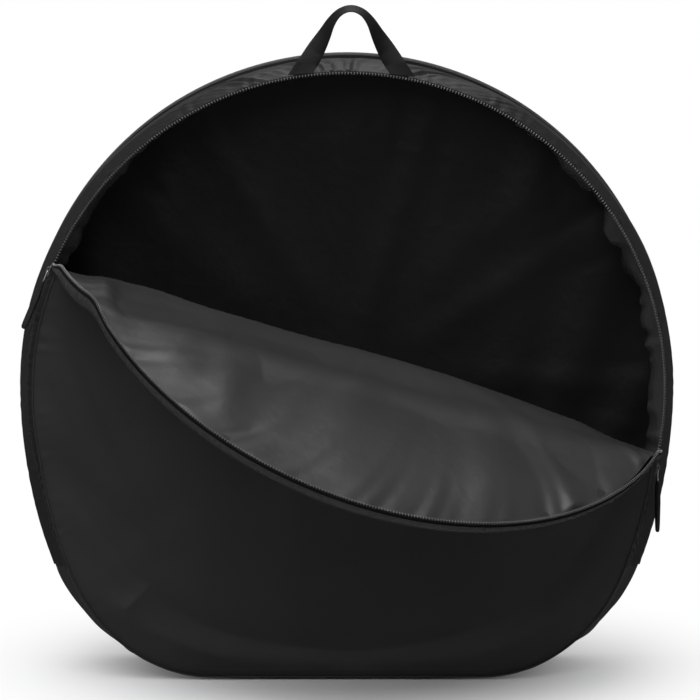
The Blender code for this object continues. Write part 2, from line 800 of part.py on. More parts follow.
make_back()
make_front()
make_gusset()
make_base()
make_piping()
make_zip()
for slider_side, slider_polar, pull_rest in (
    (-1, ZIP_LEFT_END, LEFT_PULL_REST),
    (1, ZIP_RIGHT_END, RIGHT_PULL_REST),
):
    make_pull(slider_side, make_slider(slider_side, slider_polar), pull_rest)
make_handle()
bpy.context.view_layer.update()
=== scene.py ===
"""The looks of an upright, round wheel bag that stands open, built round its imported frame."""

import math

import bmesh
import bpy
import numpy as np
from mathutils import Matrix, Vector


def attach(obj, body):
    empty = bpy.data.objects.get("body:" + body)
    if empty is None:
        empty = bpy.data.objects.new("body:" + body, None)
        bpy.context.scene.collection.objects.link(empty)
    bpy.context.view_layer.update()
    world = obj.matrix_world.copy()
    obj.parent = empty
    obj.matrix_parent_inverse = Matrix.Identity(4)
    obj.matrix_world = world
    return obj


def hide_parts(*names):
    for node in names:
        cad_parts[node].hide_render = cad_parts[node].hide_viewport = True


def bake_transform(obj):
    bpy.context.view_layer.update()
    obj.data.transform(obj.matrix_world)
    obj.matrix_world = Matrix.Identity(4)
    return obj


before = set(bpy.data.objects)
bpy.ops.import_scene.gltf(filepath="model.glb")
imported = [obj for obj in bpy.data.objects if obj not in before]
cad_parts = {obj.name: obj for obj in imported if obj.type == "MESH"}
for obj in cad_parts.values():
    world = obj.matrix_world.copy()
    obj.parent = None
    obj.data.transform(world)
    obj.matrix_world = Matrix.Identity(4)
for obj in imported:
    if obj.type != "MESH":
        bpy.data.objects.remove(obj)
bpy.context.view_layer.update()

# Studio
# A plain pale floor that runs on to white, soft lamps above and in front, and a long lens a little above the
# bag's middle, as in the photograph.

CAMERA_ELEVATION = 8.5
CAMERA_AWAY = 8.0
PICTURE_WIDE = 0.8071
AIM = Vector((0.0038, -0.075, 0.387))
SENSOR = 36.0
SEE_AS_FAR = 50
SKY_LIGHT = 0.40
SKY_IN_GLOSS = 0.13
FLOOR_IN_GLOSS = 0.10
FLOOR_HALF = 30.0
FLOOR_TONE = 0.9
SHADOW_FROM, SHADOW_TO = 0.12, 0.56

scene = bpy.context.scene
scene.view_settings.view_transform = "Standard"


def shown_object(name, data):
    """A mesh, a lamp or a camera as an object in the scene."""
    made = bpy.data.objects.new(name, data)
    scene.collection.objects.link(made)
    return made


lens_data = bpy.data.cameras.new("camera")
lens_data.sensor_width = SENSOR
lens_data.lens = SENSOR * CAMERA_AWAY / PICTURE_WIDE
lens_data.clip_end = SEE_AS_FAR
camera = shown_object("camera", lens_data)
lift = math.radians(CAMERA_ELEVATION)
camera.location = AIM + Vector((0, -math.cos(lift), math.sin(lift))) * CAMERA_AWAY
camera.rotation_euler = (math.pi / 2 - lift, 0, 0)
scene.camera = camera


def feed(tree, made, values):
    """Gives inputs of a node, each by its name or number, a value or another node's output."""
    for name, value in values.items():
        if isinstance(value, bpy.types.NodeSocket):
            tree.links.new(value, made.inputs[name])
        else:
            made.inputs[name].default_value = value
    return made


def node(tree, kind, values=None, **settings):
    """A new node of this kind, with its settings and what its inputs are given."""
    made = tree.nodes.new(kind)
    for name, value in settings.items():
        setattr(made, name, value)
    return feed(tree, made, values or {})


def white(strength):
    """White light of this strength, for a background or an emission."""
    return {"Color": (1, 1, 1, 1), "Strength": strength}


world = bpy.data.worlds.new("studio")
scene.world = world
world.use_nodes = True
sky = world.node_tree
plain = feed(sky, sky.nodes["Background"], white(SKY_LIGHT))
seen = node(sky, "ShaderNodeBackground", white(1.0))
dim = node(sky, "ShaderNodeBackground", white(SKY_IN_GLOSS))
rays = node(sky, "ShaderNodeLightPath").outputs
direct = node(
    sky, "ShaderNodeMath", {0: rays["Is Camera Ray"], 1: rays["Is Transmission Ray"]}, operation="MAXIMUM"
)
mirrored = node(sky, "ShaderNodeMixShader", {0: rays["Is Glossy Ray"], 1: plain.outputs[0], 2: dim.outputs[0]})
shown = node(sky, "ShaderNodeMixShader", {0: direct.outputs[0], 1: mirrored.outputs[0], 2: seen.outputs[0]})
feed(sky, sky.nodes["World Output"], {"Surface": shown.outputs[0]})

for lamp_name, spot, aim, size, power in (
    ("lamp_above", (-0.25, -0.7, 2.6), (0, 0, 0.4), 2.0, 62),
    ("lamp_front", (-0.8, -3.1, 2.4), (0, 0, 0.35), 1.8, 33),
    ("lamp_behind", (0.1, 1.9, 2.3), (0, 0, 0.6), 1.5, 7.5),
):
    lamp = bpy.data.lights.new(lamp_name, "AREA")
    lamp.shape = "SQUARE"
    lamp.size = size
    lamp.energy = power
    lamp_object = shown_object(lamp_name, lamp)
    lamp_object.location = spot
    lamp_object.rotation_euler = (Vector(aim) - Vector(spot)).to_track_quat("-Z", "Y").to_euler()

floor_mesh = bpy.data.meshes.new("floor")
floor_corners = [(x * FLOOR_HALF, y * FLOOR_HALF, 0) for x, y in ((-1, -1), (1, -1), (1, 1), (-1, 1))]
floor_mesh.from_pydata(floor_corners, [], [(0, 1, 2, 3)])
floor_paint = bpy.data.materials.new("floor_paint")
floor_paint.use_nodes = True
ground = floor_paint.node_tree
matt_floor = feed(
    ground,
    ground.nodes["Principled BSDF"],
    {"Base Color": (FLOOR_TONE, FLOOR_TONE, FLOOR_TONE, 1), "Roughness": 0.8, "Specular IOR Level": 0.1},
)
glow = node(ground, "ShaderNodeEmission", white(1.0))
place = node(ground, "ShaderNodeTexCoord")
away = node(ground, "ShaderNodeVectorMath", {0: place.outputs["Object"]}, operation="LENGTH")
fade = node(
    ground,
    "ShaderNodeMapRange",
    {"From Min": SHADOW_FROM, "From Max": SHADOW_TO, "Value": away.outputs["Value"]},
    interpolation_type="SMOOTHSTEP",
)
rays = node(ground, "ShaderNodeLightPath").outputs
faded = node(ground, "ShaderNodeMath", {0: fade.outputs[0], 1: rays["Is Camera Ray"]}, operation="MULTIPLY")
shown = node(ground, "ShaderNodeMixShader", {0: faded.outputs[0], 1: matt_floor.outputs[0], 2: glow.outputs[0]})
dim = node(ground, "ShaderNodeEmission", white(FLOOR_IN_GLOSS))
mirrored = node(ground, "ShaderNodeMixShader", {0: rays["Is Glossy Ray"], 1: shown.outputs[0], 2: dim.outputs[0]})
feed(ground, ground.nodes["Material Output"], {"Surface": mirrored.outputs[0]})
floor_mesh.materials.append(floor_paint)
floor = shown_object("floor", floor_mesh)


# Back panel
# The tall flat wall at the back: black nylon sewn over thin foam, edge to edge inside the gusset, and a loose
# black lining in front of the foam.

SHELL_WIDTH = 0.756
SHELL_HEIGHT = 0.715
SIDE_RADIUS = 0.600
CORNER_RADIUS = 0.195
BACK_Y = 0.075
TOP_RADIUS = SHELL_WIDTH / 2
CENTRE_Z = SHELL_HEIGHT - TOP_RADIUS
CORNER_SINE = (CENTRE_Z - CORNER_RADIUS) / (SIDE_RADIUS - CORNER_RADIUS)
CORNER_TURN = math.asin(CORNER_SINE)
SIDE_SHIFT = SIDE_RADIUS - TOP_RADIUS
BASE_HALF = (SIDE_RADIUS - CORNER_RADIUS) * math.cos(CORNER_TURN) - SIDE_SHIFT
CORNER_LENGTH = CORNER_RADIUS * (math.pi / 2 - CORNER_TURN)
SIDE_LENGTH = SIDE_RADIUS * CORNER_TURN
STATIONS = np.cumsum(
    [0, BASE_HALF, CORNER_LENGTH, SIDE_LENGTH, math.pi * TOP_RADIUS, SIDE_LENGTH, CORNER_LENGTH, BASE_HALF]
)
ROUND = STATIONS[-1]
CROSS_SEAM = math.degrees(CORNER_TURN)
FACINGS = [-90, -90, -CROSS_SEAM, 0, 180, 180 + CROSS_SEAM, 270, 270]
SAME_ANGLE = 1e-9
PANEL_MIDDLE = np.array((0.0, 0.345))
PANEL_IN = 0.0013
BACK_NET = 150
SETTLING_NET = 84
BACK_THICK = 0.0055
INSIDE_BACK = 0.0008
BACK_CROWN = 0.0072
BACK_DIP = 0.003
LINING_THICK = 0.0006
LINING_FROM_BACK = 0.0068
LINING_HUB = 0.34
CROWN_REACH = 0.09
GATHER_HIGH, GATHER_REACH = 0.0006, 0.014
SEAM_SUNK = 0.001
FIRST_BULGE = 0.002
SMOOTHINGS = 5
HUNG_AT_REST, HUNG_MOST = 0.0025, 0.012


def facing_at(run):
    """The angle that the outline faces after this run along it, from the middle of the base and up on the right."""
    return np.interp(np.mod(run, ROUND), STATIONS, FACINGS)


def run_at(angle):
    """The run along the outline to where it faces this angle, above the base."""
    return np.interp(angle, FACINGS[1:-1], STATIONS[1:-1])


def edge_at(run, inset):
    """Points (x, z) of the outline, set in from it."""
    run = np.mod(run, ROUND)
    angle = facing_at(run)
    turn = np.radians(angle)
    side = np.where(angle < 90, 1.0, -1.0)
    drop = -np.sin(turn)
    top = drop <= SAME_ANGLE
    low = drop >= CORNER_SINE - SAME_ANGLE
    centre_x = np.where(top, 0, np.where(low, side * BASE_HALF, -side * SIDE_SHIFT))
    centre_z = np.where(low, CORNER_RADIUS, CENTRE_Z)
    radius = np.where(top, TOP_RADIUS, np.where(low, CORNER_RADIUS, SIDE_RADIUS))
    x = centre_x + (radius - inset) * np.cos(turn)
    z = centre_z + (radius - inset) * np.sin(turn)
    x = np.where(run < BASE_HALF, run, np.where(run > ROUND - BASE_HALF, run - ROUND, x))
    return x, z


def net_faces(number):
    """The quads of a net whose points have these numbers, and its rim in order."""
    faces = np.stack([number[:-1, :-1], number[1:, :-1], number[1:, 1:], number[:-1, 1:]], -1).reshape(-1, 4)
    rim = np.concatenate([number[:-1, 0], number[-1, :-1], number[:0:-1, -1], number[0, :0:-1]])
    return faces, rim


def disc_net(count):
    """A square net pressed into a unit disc: each point's share of the way out and round, faces and rim."""
    line = np.linspace(-1, 1, count + 1)
    a, b = np.meshgrid(line, line, indexing="ij")
    wide = np.abs(a) >= np.abs(b)
    out = np.where(wide, a, b)
    safe = np.where(out == 0, 1, out)
    turn = np.where(wide, math.pi / 4 * b / safe, math.pi / 2 - math.pi / 4 * a / safe)
    x = out * np.cos(turn)
    y = out * np.sin(turn)
    share = (np.arctan2(y, x) + math.pi / 2) / (2 * math.pi) % 1
    number = np.arange((count + 1) ** 2).reshape(count + 1, count + 1)
    return np.hypot(x, y).ravel(), share.ravel(), *net_faces(number)


def panel_net(count, inset_at):
    """A net over a panel: points (x, z), distance in from its edge, run round it, faces and rim."""
    out, share, faces, rim = disc_net(count)
    run = share * ROUND
    edge = np.stack(edge_at(run, inset_at(facing_at(run))), -1)
    spots = PANEL_MIDDLE + out[:, None] * (edge - PANEL_MIDDLE)
    inward = (1 - out) * np.linalg.norm(edge - PANEL_MIDDLE, axis=1)
    return spots, inward, run, faces, rim


def ruffle(run, pitch, turn):
    """An uneven wave along a seam, as gathered cloth makes: three waves that never fall in step."""
    k = 2 * math.pi / pitch
    wave = np.sin(k * run + turn)
    wave = wave + 0.7 * np.sin(0.73 * k * run + 2.1 * turn) + 0.6 * np.sin(1.41 * k * run + 3.7 * turn)
    return wave * (0.6 + 0.4 * np.sin(0.17 * k * run + 1.3 * turn)) / 1.6


def creases(spots, lines):
    """Soft ridges and hollows along lines over a panel: each (x, z) to (x, z), half width, height."""
    height = np.zeros(len(spots))
    for x0, z0, x1, z1, half, rise in lines:
        start = np.array((x0, z0))
        line = np.array((x1, z1)) - start
        along = np.clip((spots - start) @ line / (line @ line), 0, 1)
        away = np.linalg.norm(spots - start - along[:, None] * line, axis=1)
        height += rise * np.exp(-((away / half) ** 2)) * np.sin(np.pi * np.clip(0.08 + 0.84 * along, 0, 1)) ** 0.7
    return height


def skin(name, points, faces, uv, material):
    """A mesh object whose cloth coordinates, in metres, are kept for the weave."""
    mesh = bpy.data.meshes.new(name)
    mesh.from_pydata(points.tolist(), [], [[int(i) for i in face] for face in faces])
    layer = mesh.uv_layers.new(name="cloth")
    corner = np.empty(len(mesh.loops), int)
    mesh.loops.foreach_get("vertex_index", corner)
    layer.data.foreach_set("uv", uv[corner].astype(np.float32).ravel())
    mesh.materials.append(material)
    return shown_object(name, mesh)


def closed_shell(name, face, back, faces, rim, uv, material):
    """Two nets joined round their rim, as one closed body."""
    count = len(face)
    after = np.roll(rim, -1)
    sides = np.stack([rim, after, after + count, rim + count], -1)
    quads = np.vstack([faces, faces[:, ::-1] + count, sides])
    return skin(name, np.vstack([face, back]), quads, np.vstack([uv, uv]), material)


def panel_shell(name, net, face_y, back_y, material):
    """A closed panel between two nets at these depths."""
    spots, _, _, faces, rim = net
    face, back = (np.stack([spots[:, 0], y, spots[:, 1]], -1) for y in (face_y, back_y))
    return closed_shell(name, face, back, faces, rim, spots, material)


def settled(name, inset_at, count, growth, gravity, push, bending, frames):
    """How far a panel's slack cloth moves out of its plane once it is held by its rim, grows and hangs."""
    spots, inward, run, faces, rim = panel_net(SETTLING_NET, inset_at)
    mesh = bpy.data.meshes.new(name)
    bulge = FIRST_BULGE * np.clip(inward / 0.1, 0, 1)
    mesh.from_pydata(np.stack([spots[:, 0], bulge, spots[:, 1]], -1).tolist(), [], faces.tolist())
    sheet = shown_object(name, mesh)
    sheet.vertex_groups.new(name="held").add([int(i) for i in rim], 1.0, "REPLACE")
    cloth = sheet.modifiers.new("cloth", "CLOTH")
    cloth.settings.vertex_group_mass = "held"
    cloth.settings.quality = 5
    cloth.settings.mass = 0.25
    cloth.settings.air_damping = 3
    cloth.settings.tension_stiffness = 20
    cloth.settings.compression_stiffness = 20
    cloth.settings.shear_stiffness = 8
    cloth.settings.bending_stiffness = bending
    cloth.settings.shrink_min = -growth
    cloth.settings.use_pressure = push != 0
    cloth.settings.uniform_pressure_force = push
    cloth.settings.effector_weights.gravity = gravity
    cloth.collision_settings.use_collision = False
    cloth.collision_settings.use_self_collision = False
    cloth.point_cache.frame_start = 1
    cloth.point_cache.frame_end = frames
    for step in range(1, frames + 1):
        scene.frame_set(step)
    fallen = sheet.evaluated_get(bpy.context.evaluated_depsgraph_get())
    points = np.empty(3 * (SETTLING_NET + 1) ** 2)
    fallen.data.vertices.foreach_get("co", points)
    scene.frame_set(1)
    bpy.data.objects.remove(sheet)
    bpy.data.meshes.remove(mesh)
    net = (points.reshape(-1, 3)[:, 1] - bulge).reshape(SETTLING_NET + 1, SETTLING_NET + 1)
    for _ in range(SMOOTHINGS):
        held = np.pad(net, 1, mode="edge")
        net = (held[:-2, 1:-1] + held[2:, 1:-1] + held[1:-1, :-2] + held[1:-1, 2:] + 2 * held[1:-1, 1:-1]) / 6
    old, new = np.linspace(0, 1, SETTLING_NET + 1), np.linspace(0, 1, count + 1)
    rows = np.array([np.interp(new, old, line) for line in net])
    return np.array([np.interp(new, old, line) for line in rows.T]).T.ravel()


def crisp(piece, angle=45.0):
    """Turns a closed piece's faces out, and keeps its cut edges sharp."""
    bm = bmesh.new()
    bm.from_mesh(piece.data)
    bmesh.ops.recalc_face_normals(bm, faces=bm.faces)
    bm.to_mesh(piece.data)
    bm.free()
    piece.data.shade_smooth()
    piece.data.set_sharp_from_angle(angle=math.radians(angle))
    return piece


def painted(name):
    """A new material, its node tree and its shader."""
    made = bpy.data.materials.new(name)
    made.use_nodes = True
    return made, made.node_tree, made.node_tree.nodes["Principled BSDF"]


def cloth_material(name, colour, rough, gloss, sheen, crinkle, thread=0.0007, relief=0.00012, mottle=0.25):
    """Woven cloth: threads over and under in its own coordinates, their light and shade painted into the colour,
    uneven dye, soft sheen and fine crinkles.
    """
    made, tree, shader = painted(name)
    threads = node(tree, "ShaderNodeUVMap", uv_map="cloth").outputs[0]
    place = node(tree, "ShaderNodeTexCoord").outputs["Object"]
    waves = {}
    for number, way in enumerate(("X", "Y")):
        size = {"Scale": math.pi / 10 / thread, "Vector": threads}
        waves[number] = node(tree, "ShaderNodeTexWave", size, bands_direction=way).outputs["Fac"]
    over = node(tree, "ShaderNodeMath", waves, operation="MULTIPLY").outputs[0]
    blotch = node(tree, "ShaderNodeTexNoise", {"Scale": 9.0, "Detail": 4.0, "Vector": place}).outputs["Fac"]
    dye = node(tree, "ShaderNodeMapRange", {"To Min": 1 - mottle, "To Max": 1 + mottle, "Value": blotch})
    # The weave's over-and-under pattern darkens the colour between threads and lightens it on their crowns: painted
    # shade and highlight of the thread relief.
    weave_shading = node(tree, "ShaderNodeMapRange", {"To Min": 0.8, "To Max": 1.15, "Value": over})
    tone = node(tree, "ShaderNodeMath", {0: dye.outputs[0], 1: weave_shading.outputs[0]}, operation="MULTIPLY")
    paint = node(
        tree,
        "ShaderNodeMix",
        {"Factor": 1.0, "A": (*colour, 1), "B": tone.outputs[0]},
        data_type="RGBA",
        blend_type="MULTIPLY",
    )
    matt = node(tree, "ShaderNodeMapRange", {"To Min": rough - 0.08, "To Max": rough + 0.08, "Value": blotch})
    fine = node(tree, "ShaderNodeTexNoise", {"Scale": 60.0, "Detail": 6.0, "Vector": place}).outputs["Fac"]
    weave = node(tree, "ShaderNodeBump", {"Strength": 0.6, "Distance": relief, "Height": over})
    creased = node(
        tree, "ShaderNodeBump", {"Strength": 1.0, "Distance": crinkle, "Height": fine, "Normal": weave.outputs[0]}
    )
    feed(
        tree,
        shader,
        {
            "Base Color": paint.outputs["Result"],
            "Roughness": matt.outputs[0],
            "Normal": creased.outputs[0],
            "Specular IOR Level": gloss,
            "Sheen Weight": sheen,
            "Sheen Roughness": 0.5,
            "Sheen Tint": (0.5, 0.5, 0.5, 1),
        },
    )
    return made


def back_edge(angle):
    """How far the back's net stays inside the outline."""
    return PANEL_IN


NYLON_CLOTH = cloth_material(
    "nylon_cloth", (0.0230, 0.0230, 0.0233), rough=0.44, gloss=0.22, sheen=0.01, crinkle=0.0006
)
LINING_CLOTH = cloth_material(
    "lining_cloth", (0.0095, 0.0095, 0.0097), 0.34, 0.15, 0.0, 0.0008, thread=0.0004, relief=0.00005
)

net = panel_net(BACK_NET, back_edge)
spots, inward, run, faces, rim = net
soft = np.clip(inward / CROWN_REACH, 0, 1)
crown = BACK_CROWN * soft * (2 - soft)
gather = GATHER_HIGH * ruffle(run, 0.021, 0.4) * np.exp(-inward / GATHER_REACH)
worn = creases(
    spots,
    (
        (-0.20, 0.08, -0.16, 0.62, 0.030, -0.003),
        (0.19, 0.10, 0.17, 0.60, 0.034, -0.003),
        (-0.05, 0.05, 0.03, 0.66, 0.050, 0.002),
        (-0.30, 0.30, 0.28, 0.24, 0.045, 0.002),
    ),
)
slack_back = settled(
    "settling_back", back_edge, BACK_NET, growth=0.010, gravity=0.8, push=-0.4, bending=3.0, frames=18
)
slack_back = np.clip(0.9 * slack_back, -BACK_DIP, BACK_DIP) * np.clip(inward / 0.006, 0, 1)
outer_y = np.maximum(BACK_Y - SEAM_SUNK + crown + gather + worn * soft + slack_back, BACK_Y - BACK_DIP)
inner_y = np.full_like(outer_y, BACK_Y - BACK_THICK - INSIDE_BACK)
back_panel = crisp(panel_shell("back_panel", net, outer_y, inner_y, NYLON_CLOTH))
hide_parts("back_outer", "back_foam")
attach(back_panel, "bag")

RADIAL_CREASES = (
    (0.42, 0.10, 0.10, 0.34, 0.020, 0.0026),
    (0.85, -0.08, 0.13, 0.33, 0.026, 0.0022),
    (1.20, 0.06, 0.07, 0.34, 0.017, 0.0030),
    (1.62, -0.10, 0.16, 0.33, 0.022, 0.0020),
    (1.98, 0.12, 0.09, 0.32, 0.019, 0.0028),
    (2.52, -0.06, 0.12, 0.33, 0.028, 0.0022),
    (2.95, 0.05, 0.18, 0.33, 0.018, 0.0018),
    (-0.02, -0.05, 0.14, 0.33, 0.021, 0.0022),
    (5.7, 0.10, 0.12, 0.30, 0.028, 0.0020),
)
radial = creases(
    spots,
    [
        (
            near * math.cos(turn),
            LINING_HUB + near * math.sin(turn),
            far * math.cos(turn + bend),
            PANEL_MIDDLE[1] + far * math.sin(turn + bend),
            half,
            rise,
        )
        for turn, bend, near, far, half, rise in RADIAL_CREASES
    ],
)
hung = settled(
    "hanging_back_lining", back_edge, BACK_NET, growth=0.02, gravity=0.7, push=0.0, bending=0.4, frames=20
)
hung = np.clip(HUNG_AT_REST - 0.55 * hung, 0, HUNG_MOST) * np.clip(inward / 0.02, 0, 1)
loose = np.clip(inward / 0.05, 0, 1)
folds = (radial + 0.0012 * ruffle(run, 0.05, 1.9) * np.exp(-inward / 0.05)) * loose
lining_front = BACK_Y - LINING_FROM_BACK - LINING_THICK - hung - folds
lining_rear = np.minimum(lining_front + LINING_THICK, BACK_Y - LINING_FROM_BACK)
back_lining = crisp(
    panel_shell("back_panel_lining", net, lining_rear - LINING_THICK, lining_rear, LINING_CLOTH)
)
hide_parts("back_lining")
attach(back_lining, "bag")


# Back piping
# A thin cord wrapped in bias-cut nylon, sewn into the seam between the back panel and the gusset all the way
# round. Its nylon is painted paler as a painted highlight. It stands a little proud, with the dark groove of the seam
# in front of it, where over the top a painted shadow lies.

PIPING_RADIUS = 0.0024
PIPING_AT_TOP = 0.0015
PIPING_AT_SIDES = 0.0022
PIPING_FROM_BACK = 0.0003
PIPING_SIDES = 10


def outward_at(run):
    """The direction straight out of the outline at these runs."""
    turn = np.radians(facing_at(run))
    return np.stack([np.cos(turn), 0 * turn, np.sin(turn)], -1)


def tube_faces(number, closed):
    """The faces of a tube whose rings of points have these numbers, capped at both ends unless it is closed."""
    first, following = (number, np.roll(number, -1, 0)) if closed else (number[:-1], number[1:])
    faces = np.stack([first, np.roll(first, -1, 1), np.roll(following, -1, 1), following], -1)
    caps = [] if closed else [number[0][::-1].tolist(), number[-1].tolist()]
    return faces.reshape(-1, 4).tolist() + caps


def cord_mesh(name, centres, outward, radius, sides, uv_run, closed, material):
    """A round cord along points, each with its outward direction, as one closed tube."""
    after = np.roll(centres, -1, 0)
    before = np.roll(centres, 1, 0)
    if not closed:
        after[-1] = centres[-1]
        before[0] = centres[0]
    along = after - before
    along /= np.linalg.norm(along, axis=1)[:, None]
    across = np.cross(along, outward)
    across /= np.linalg.norm(across, axis=1)[:, None]
    up = np.cross(across, along)
    turn = np.linspace(0, 2 * math.pi, sides, endpoint=False)
    rings = centres[:, None] + radius * np.cos(turn)[None, :, None] * up[:, None]
    rings = rings + radius * np.sin(turn)[None, :, None] * across[:, None]
    count = len(centres)
    faces = tube_faces(np.arange(count * sides).reshape(count, sides), closed)
    uv = np.stack([np.repeat(uv_run, sides), np.tile(turn * radius, count)], -1)
    return crisp(skin(name, rings.reshape(-1, 3), faces, uv, material), 60)


# The piping's nylon is painted about twice as light as the bag's nylon: a painted highlight for its lit top edge.
PIPING_CLOTH_PAINTED_LIGHT = cloth_material(
    "piping_cloth_painted_light", (0.045, 0.045, 0.0455), rough=0.5, gloss=0.3, sheen=0.05, crinkle=0.0003
)
runs = np.linspace(0, ROUND, 900, endpoint=False)
over_top = np.clip((np.sin(np.radians(facing_at(runs))) - 0.55) / 0.3, 0, 1)
x, z = edge_at(runs, PIPING_AT_SIDES + (PIPING_AT_TOP - PIPING_AT_SIDES) * over_top)
y = BACK_Y + PIPING_FROM_BACK + PIPING_RADIUS + 0.00025 * ruffle(runs, 0.012, 0.8)
piping = cord_mesh(
    "back_piping_cord",
    np.stack([x, y, np.maximum(z, PIPING_RADIUS)], -1),
    outward_at(runs),
    PIPING_RADIUS,
    PIPING_SIDES,
    runs,
    True,
    PIPING_CLOTH_PAINTED_LIGHT,
)
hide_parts("back_piping")
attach(piping, "bag")


# Zip gusset
# The wide band of black nylon behind the zip, sewn to the back panel and to the zip's tape, with a loose lining.
# Its cloth is gathered at both seams, so it puckers across, most of all over the top, where the back seam pulls it
# in beside a thin black cord that is a painted shadow for the seam's dark groove.

FRONT_Y = -BACK_Y
ZIP_Y = FRONT_Y + 0.020
ZIP_RADIUS = TOP_RADIUS - 0.008
SEAM_RADIUS = TOP_RADIUS - 0.0145
SEAM_Y = FRONT_Y - 0.0012
CROWN_Y = -0.020
BAND_FRONT_Y = ZIP_Y + 0.008
STRIP_BACK_Y = ZIP_Y - 0.008
ZIP_SIDE_IN = 0.0145
SEAM_SIDE_IN = 0.0175
SEAM_BASE_IN = 0.003
SEAM_GAP = 0.00015
TOP_START = run_at(-CROSS_SEAM) + SEAM_GAP
TOP_END = run_at(180 + CROSS_SEAM) - SEAM_GAP
GUSSET_WIDE = BACK_Y - BAND_FRONT_Y
GUSSET_RUNS = 760
BAND_THICK = 0.0010
LEAST_THICK = 0.0008
FINE_BEHIND = 0.014
SEAM_SHADOW_THICK = 0.0009
LINED_FROM, LINED_TO = -0.0385, 0.0672
LINING_AWAY = 0.0005
UNDER_BAND, UNDER_FACE = 0.0013, 0.0018
SEAM_PULL, SEAM_PULL_REACH = 0.0048, 0.042
SEAM_SHADOW_SUNK = 0.0001
TOP_WIDE = 0.16


def circle_inset(angle, radius):
    """How far a circle about the zip's centre lies inside the outline."""
    turn = np.radians(angle)
    shift = SIDE_SHIFT * np.abs(np.cos(turn))
    below = SIDE_RADIUS - shift - np.sqrt(np.maximum(shift**2 - SIDE_SHIFT**2 + radius**2, 0))
    return np.where(np.sin(turn) >= 0, TOP_RADIUS - radius, below)


def seam_inset(angle, radius, side_limit, at_base):
    """A seam keeps to its circle over the top, to a limit down each side, and eases to its base value."""
    drop = -np.sin(np.radians(angle))
    turned = (np.arcsin(np.clip(drop, 0, 1)) - CORNER_TURN) / (math.pi / 2 - CORNER_TURN)
    eased = turned * turned * (3 - 2 * turned)
    low = side_limit + (at_base - side_limit) * eased
    return np.where(drop < CORNER_SINE, np.minimum(circle_inset(angle, radius), side_limit), low)


def front_inset(angle):
    """How far the front panel's seam lies inside the outline."""
    return seam_inset(angle, SEAM_RADIUS, SEAM_SIDE_IN, SEAM_BASE_IN)


def gusset_inset(angle, y):
    """How far the gusset's outer surface lies inside the outline at this depth."""
    at_zip = seam_inset(angle, ZIP_RADIUS, ZIP_SIDE_IN, 0.0)
    rear = at_zip * np.clip((CROWN_Y - y) / (CROWN_Y - BAND_FRONT_Y), 0, 1)
    lean = np.clip((STRIP_BACK_Y - y) / (STRIP_BACK_Y - SEAM_Y), 0, 1)
    return np.where(y > STRIP_BACK_Y, rear, at_zip + (front_inset(angle) - at_zip) * lean)


def band_net(runs, depths):
    """The outline's facing, and the depth, at each point of a net of runs and depths."""
    return facing_at(runs)[:, None] + 0 * depths[None], depths[None] + 0 * runs[:, None]


def band_shell(name, runs, depths, inset_face, inset_back, material):
    """A closed band of cloth over these runs and depths, between two insets given as nets."""
    walls = []
    for inset in (inset_face, inset_back):
        x, z = edge_at(runs[:, None] + 0 * depths[None], inset)
        walls.append(np.stack([x, depths[None] + 0 * runs[:, None], z], -1).reshape(-1, 3))
    rows, columns = len(runs), len(depths)
    faces, rim = net_faces(np.arange(rows * columns).reshape(rows, columns))
    uv = np.stack([np.repeat(runs, columns), np.tile(depths, rows)], -1)
    return closed_shell(name, *walls, faces, rim, uv, material)


def pulled_in(angles, y):
    """How far the seam with the back panel pulls the gusset in over the top."""
    over_top = np.clip((np.sin(np.radians(angles)) - 0.30) / 0.35, 0, 1)
    return SEAM_PULL * over_top * np.exp(-(((BACK_Y - y) / SEAM_PULL_REACH) ** 2))


def gusset_face(runs, depths):
    """How far in from the outline the gusset's puckered outer face lies, over a net of runs and depths."""
    angles, deep = band_net(runs, depths)
    from_zip = deep - BAND_FRONT_Y
    from_back = BACK_Y - deep
    from_top = (runs - run_at(90.0))[:, None]
    over_top = np.exp(-((from_top / TOP_WIDE) ** 2))
    arch = np.sin(math.pi * np.clip(from_zip / GUSSET_WIDE, 0, 1))
    fan = from_top / (0.42 + 0.58 * from_zip / GUSSET_WIDE)
    pulled = (
        0.0011 * ruffle(runs, 0.017, 0.7)[:, None] * np.exp(-from_zip / 0.018)
        + 0.0010 * ruffle(runs, 0.023, 2.9)[:, None] * np.exp(-from_back / 0.022)
        + 0.0034 * over_top * (ruffle(fan, 0.034, 5.1) - 0.8) * arch**0.6
        + 0.0016 * (1 - 0.7 * over_top) * ruffle(runs, 0.19, 1.1)[:, None] * arch
    )
    held = np.clip(from_zip / 0.003, 0, 1) * np.clip((from_back - 0.006) / 0.028, 0, 1)
    sewn_in = 0.0010 * np.exp(-(((from_back - 0.0066) / 0.0022) ** 2))
    level = gusset_inset(angles, deep) + pulled_in(angles, deep)
    return level - pulled * held - 0.0022 * (1 - 0.6 * over_top) * arch**0.8 + sewn_in


STRIP_CLOTH = cloth_material(
    "strip_cloth", (0.0100, 0.0100, 0.0102), rough=0.36, gloss=0.26, sheen=0.01, crinkle=0.0006
)
top_runs = np.linspace(TOP_START, TOP_END, GUSSET_RUNS)
depths = np.concatenate(
    [
        np.linspace(BAND_FRONT_Y, CROWN_Y, 14),
        np.linspace(CROWN_Y, BACK_Y - FINE_BEHIND, 32)[1:],
        np.linspace(BACK_Y - FINE_BEHIND, BACK_Y, 16)[1:],
    ]
)
face_inset = gusset_face(top_runs, depths)
back_inset = np.maximum(gusset_inset(*band_net(top_runs, depths)) + BAND_THICK, face_inset + LEAST_THICK)
gusset = crisp(band_shell("zip_gusset", top_runs, depths, face_inset, back_inset, STRIP_CLOTH))
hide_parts("gusset_band")
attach(gusset, "bag")

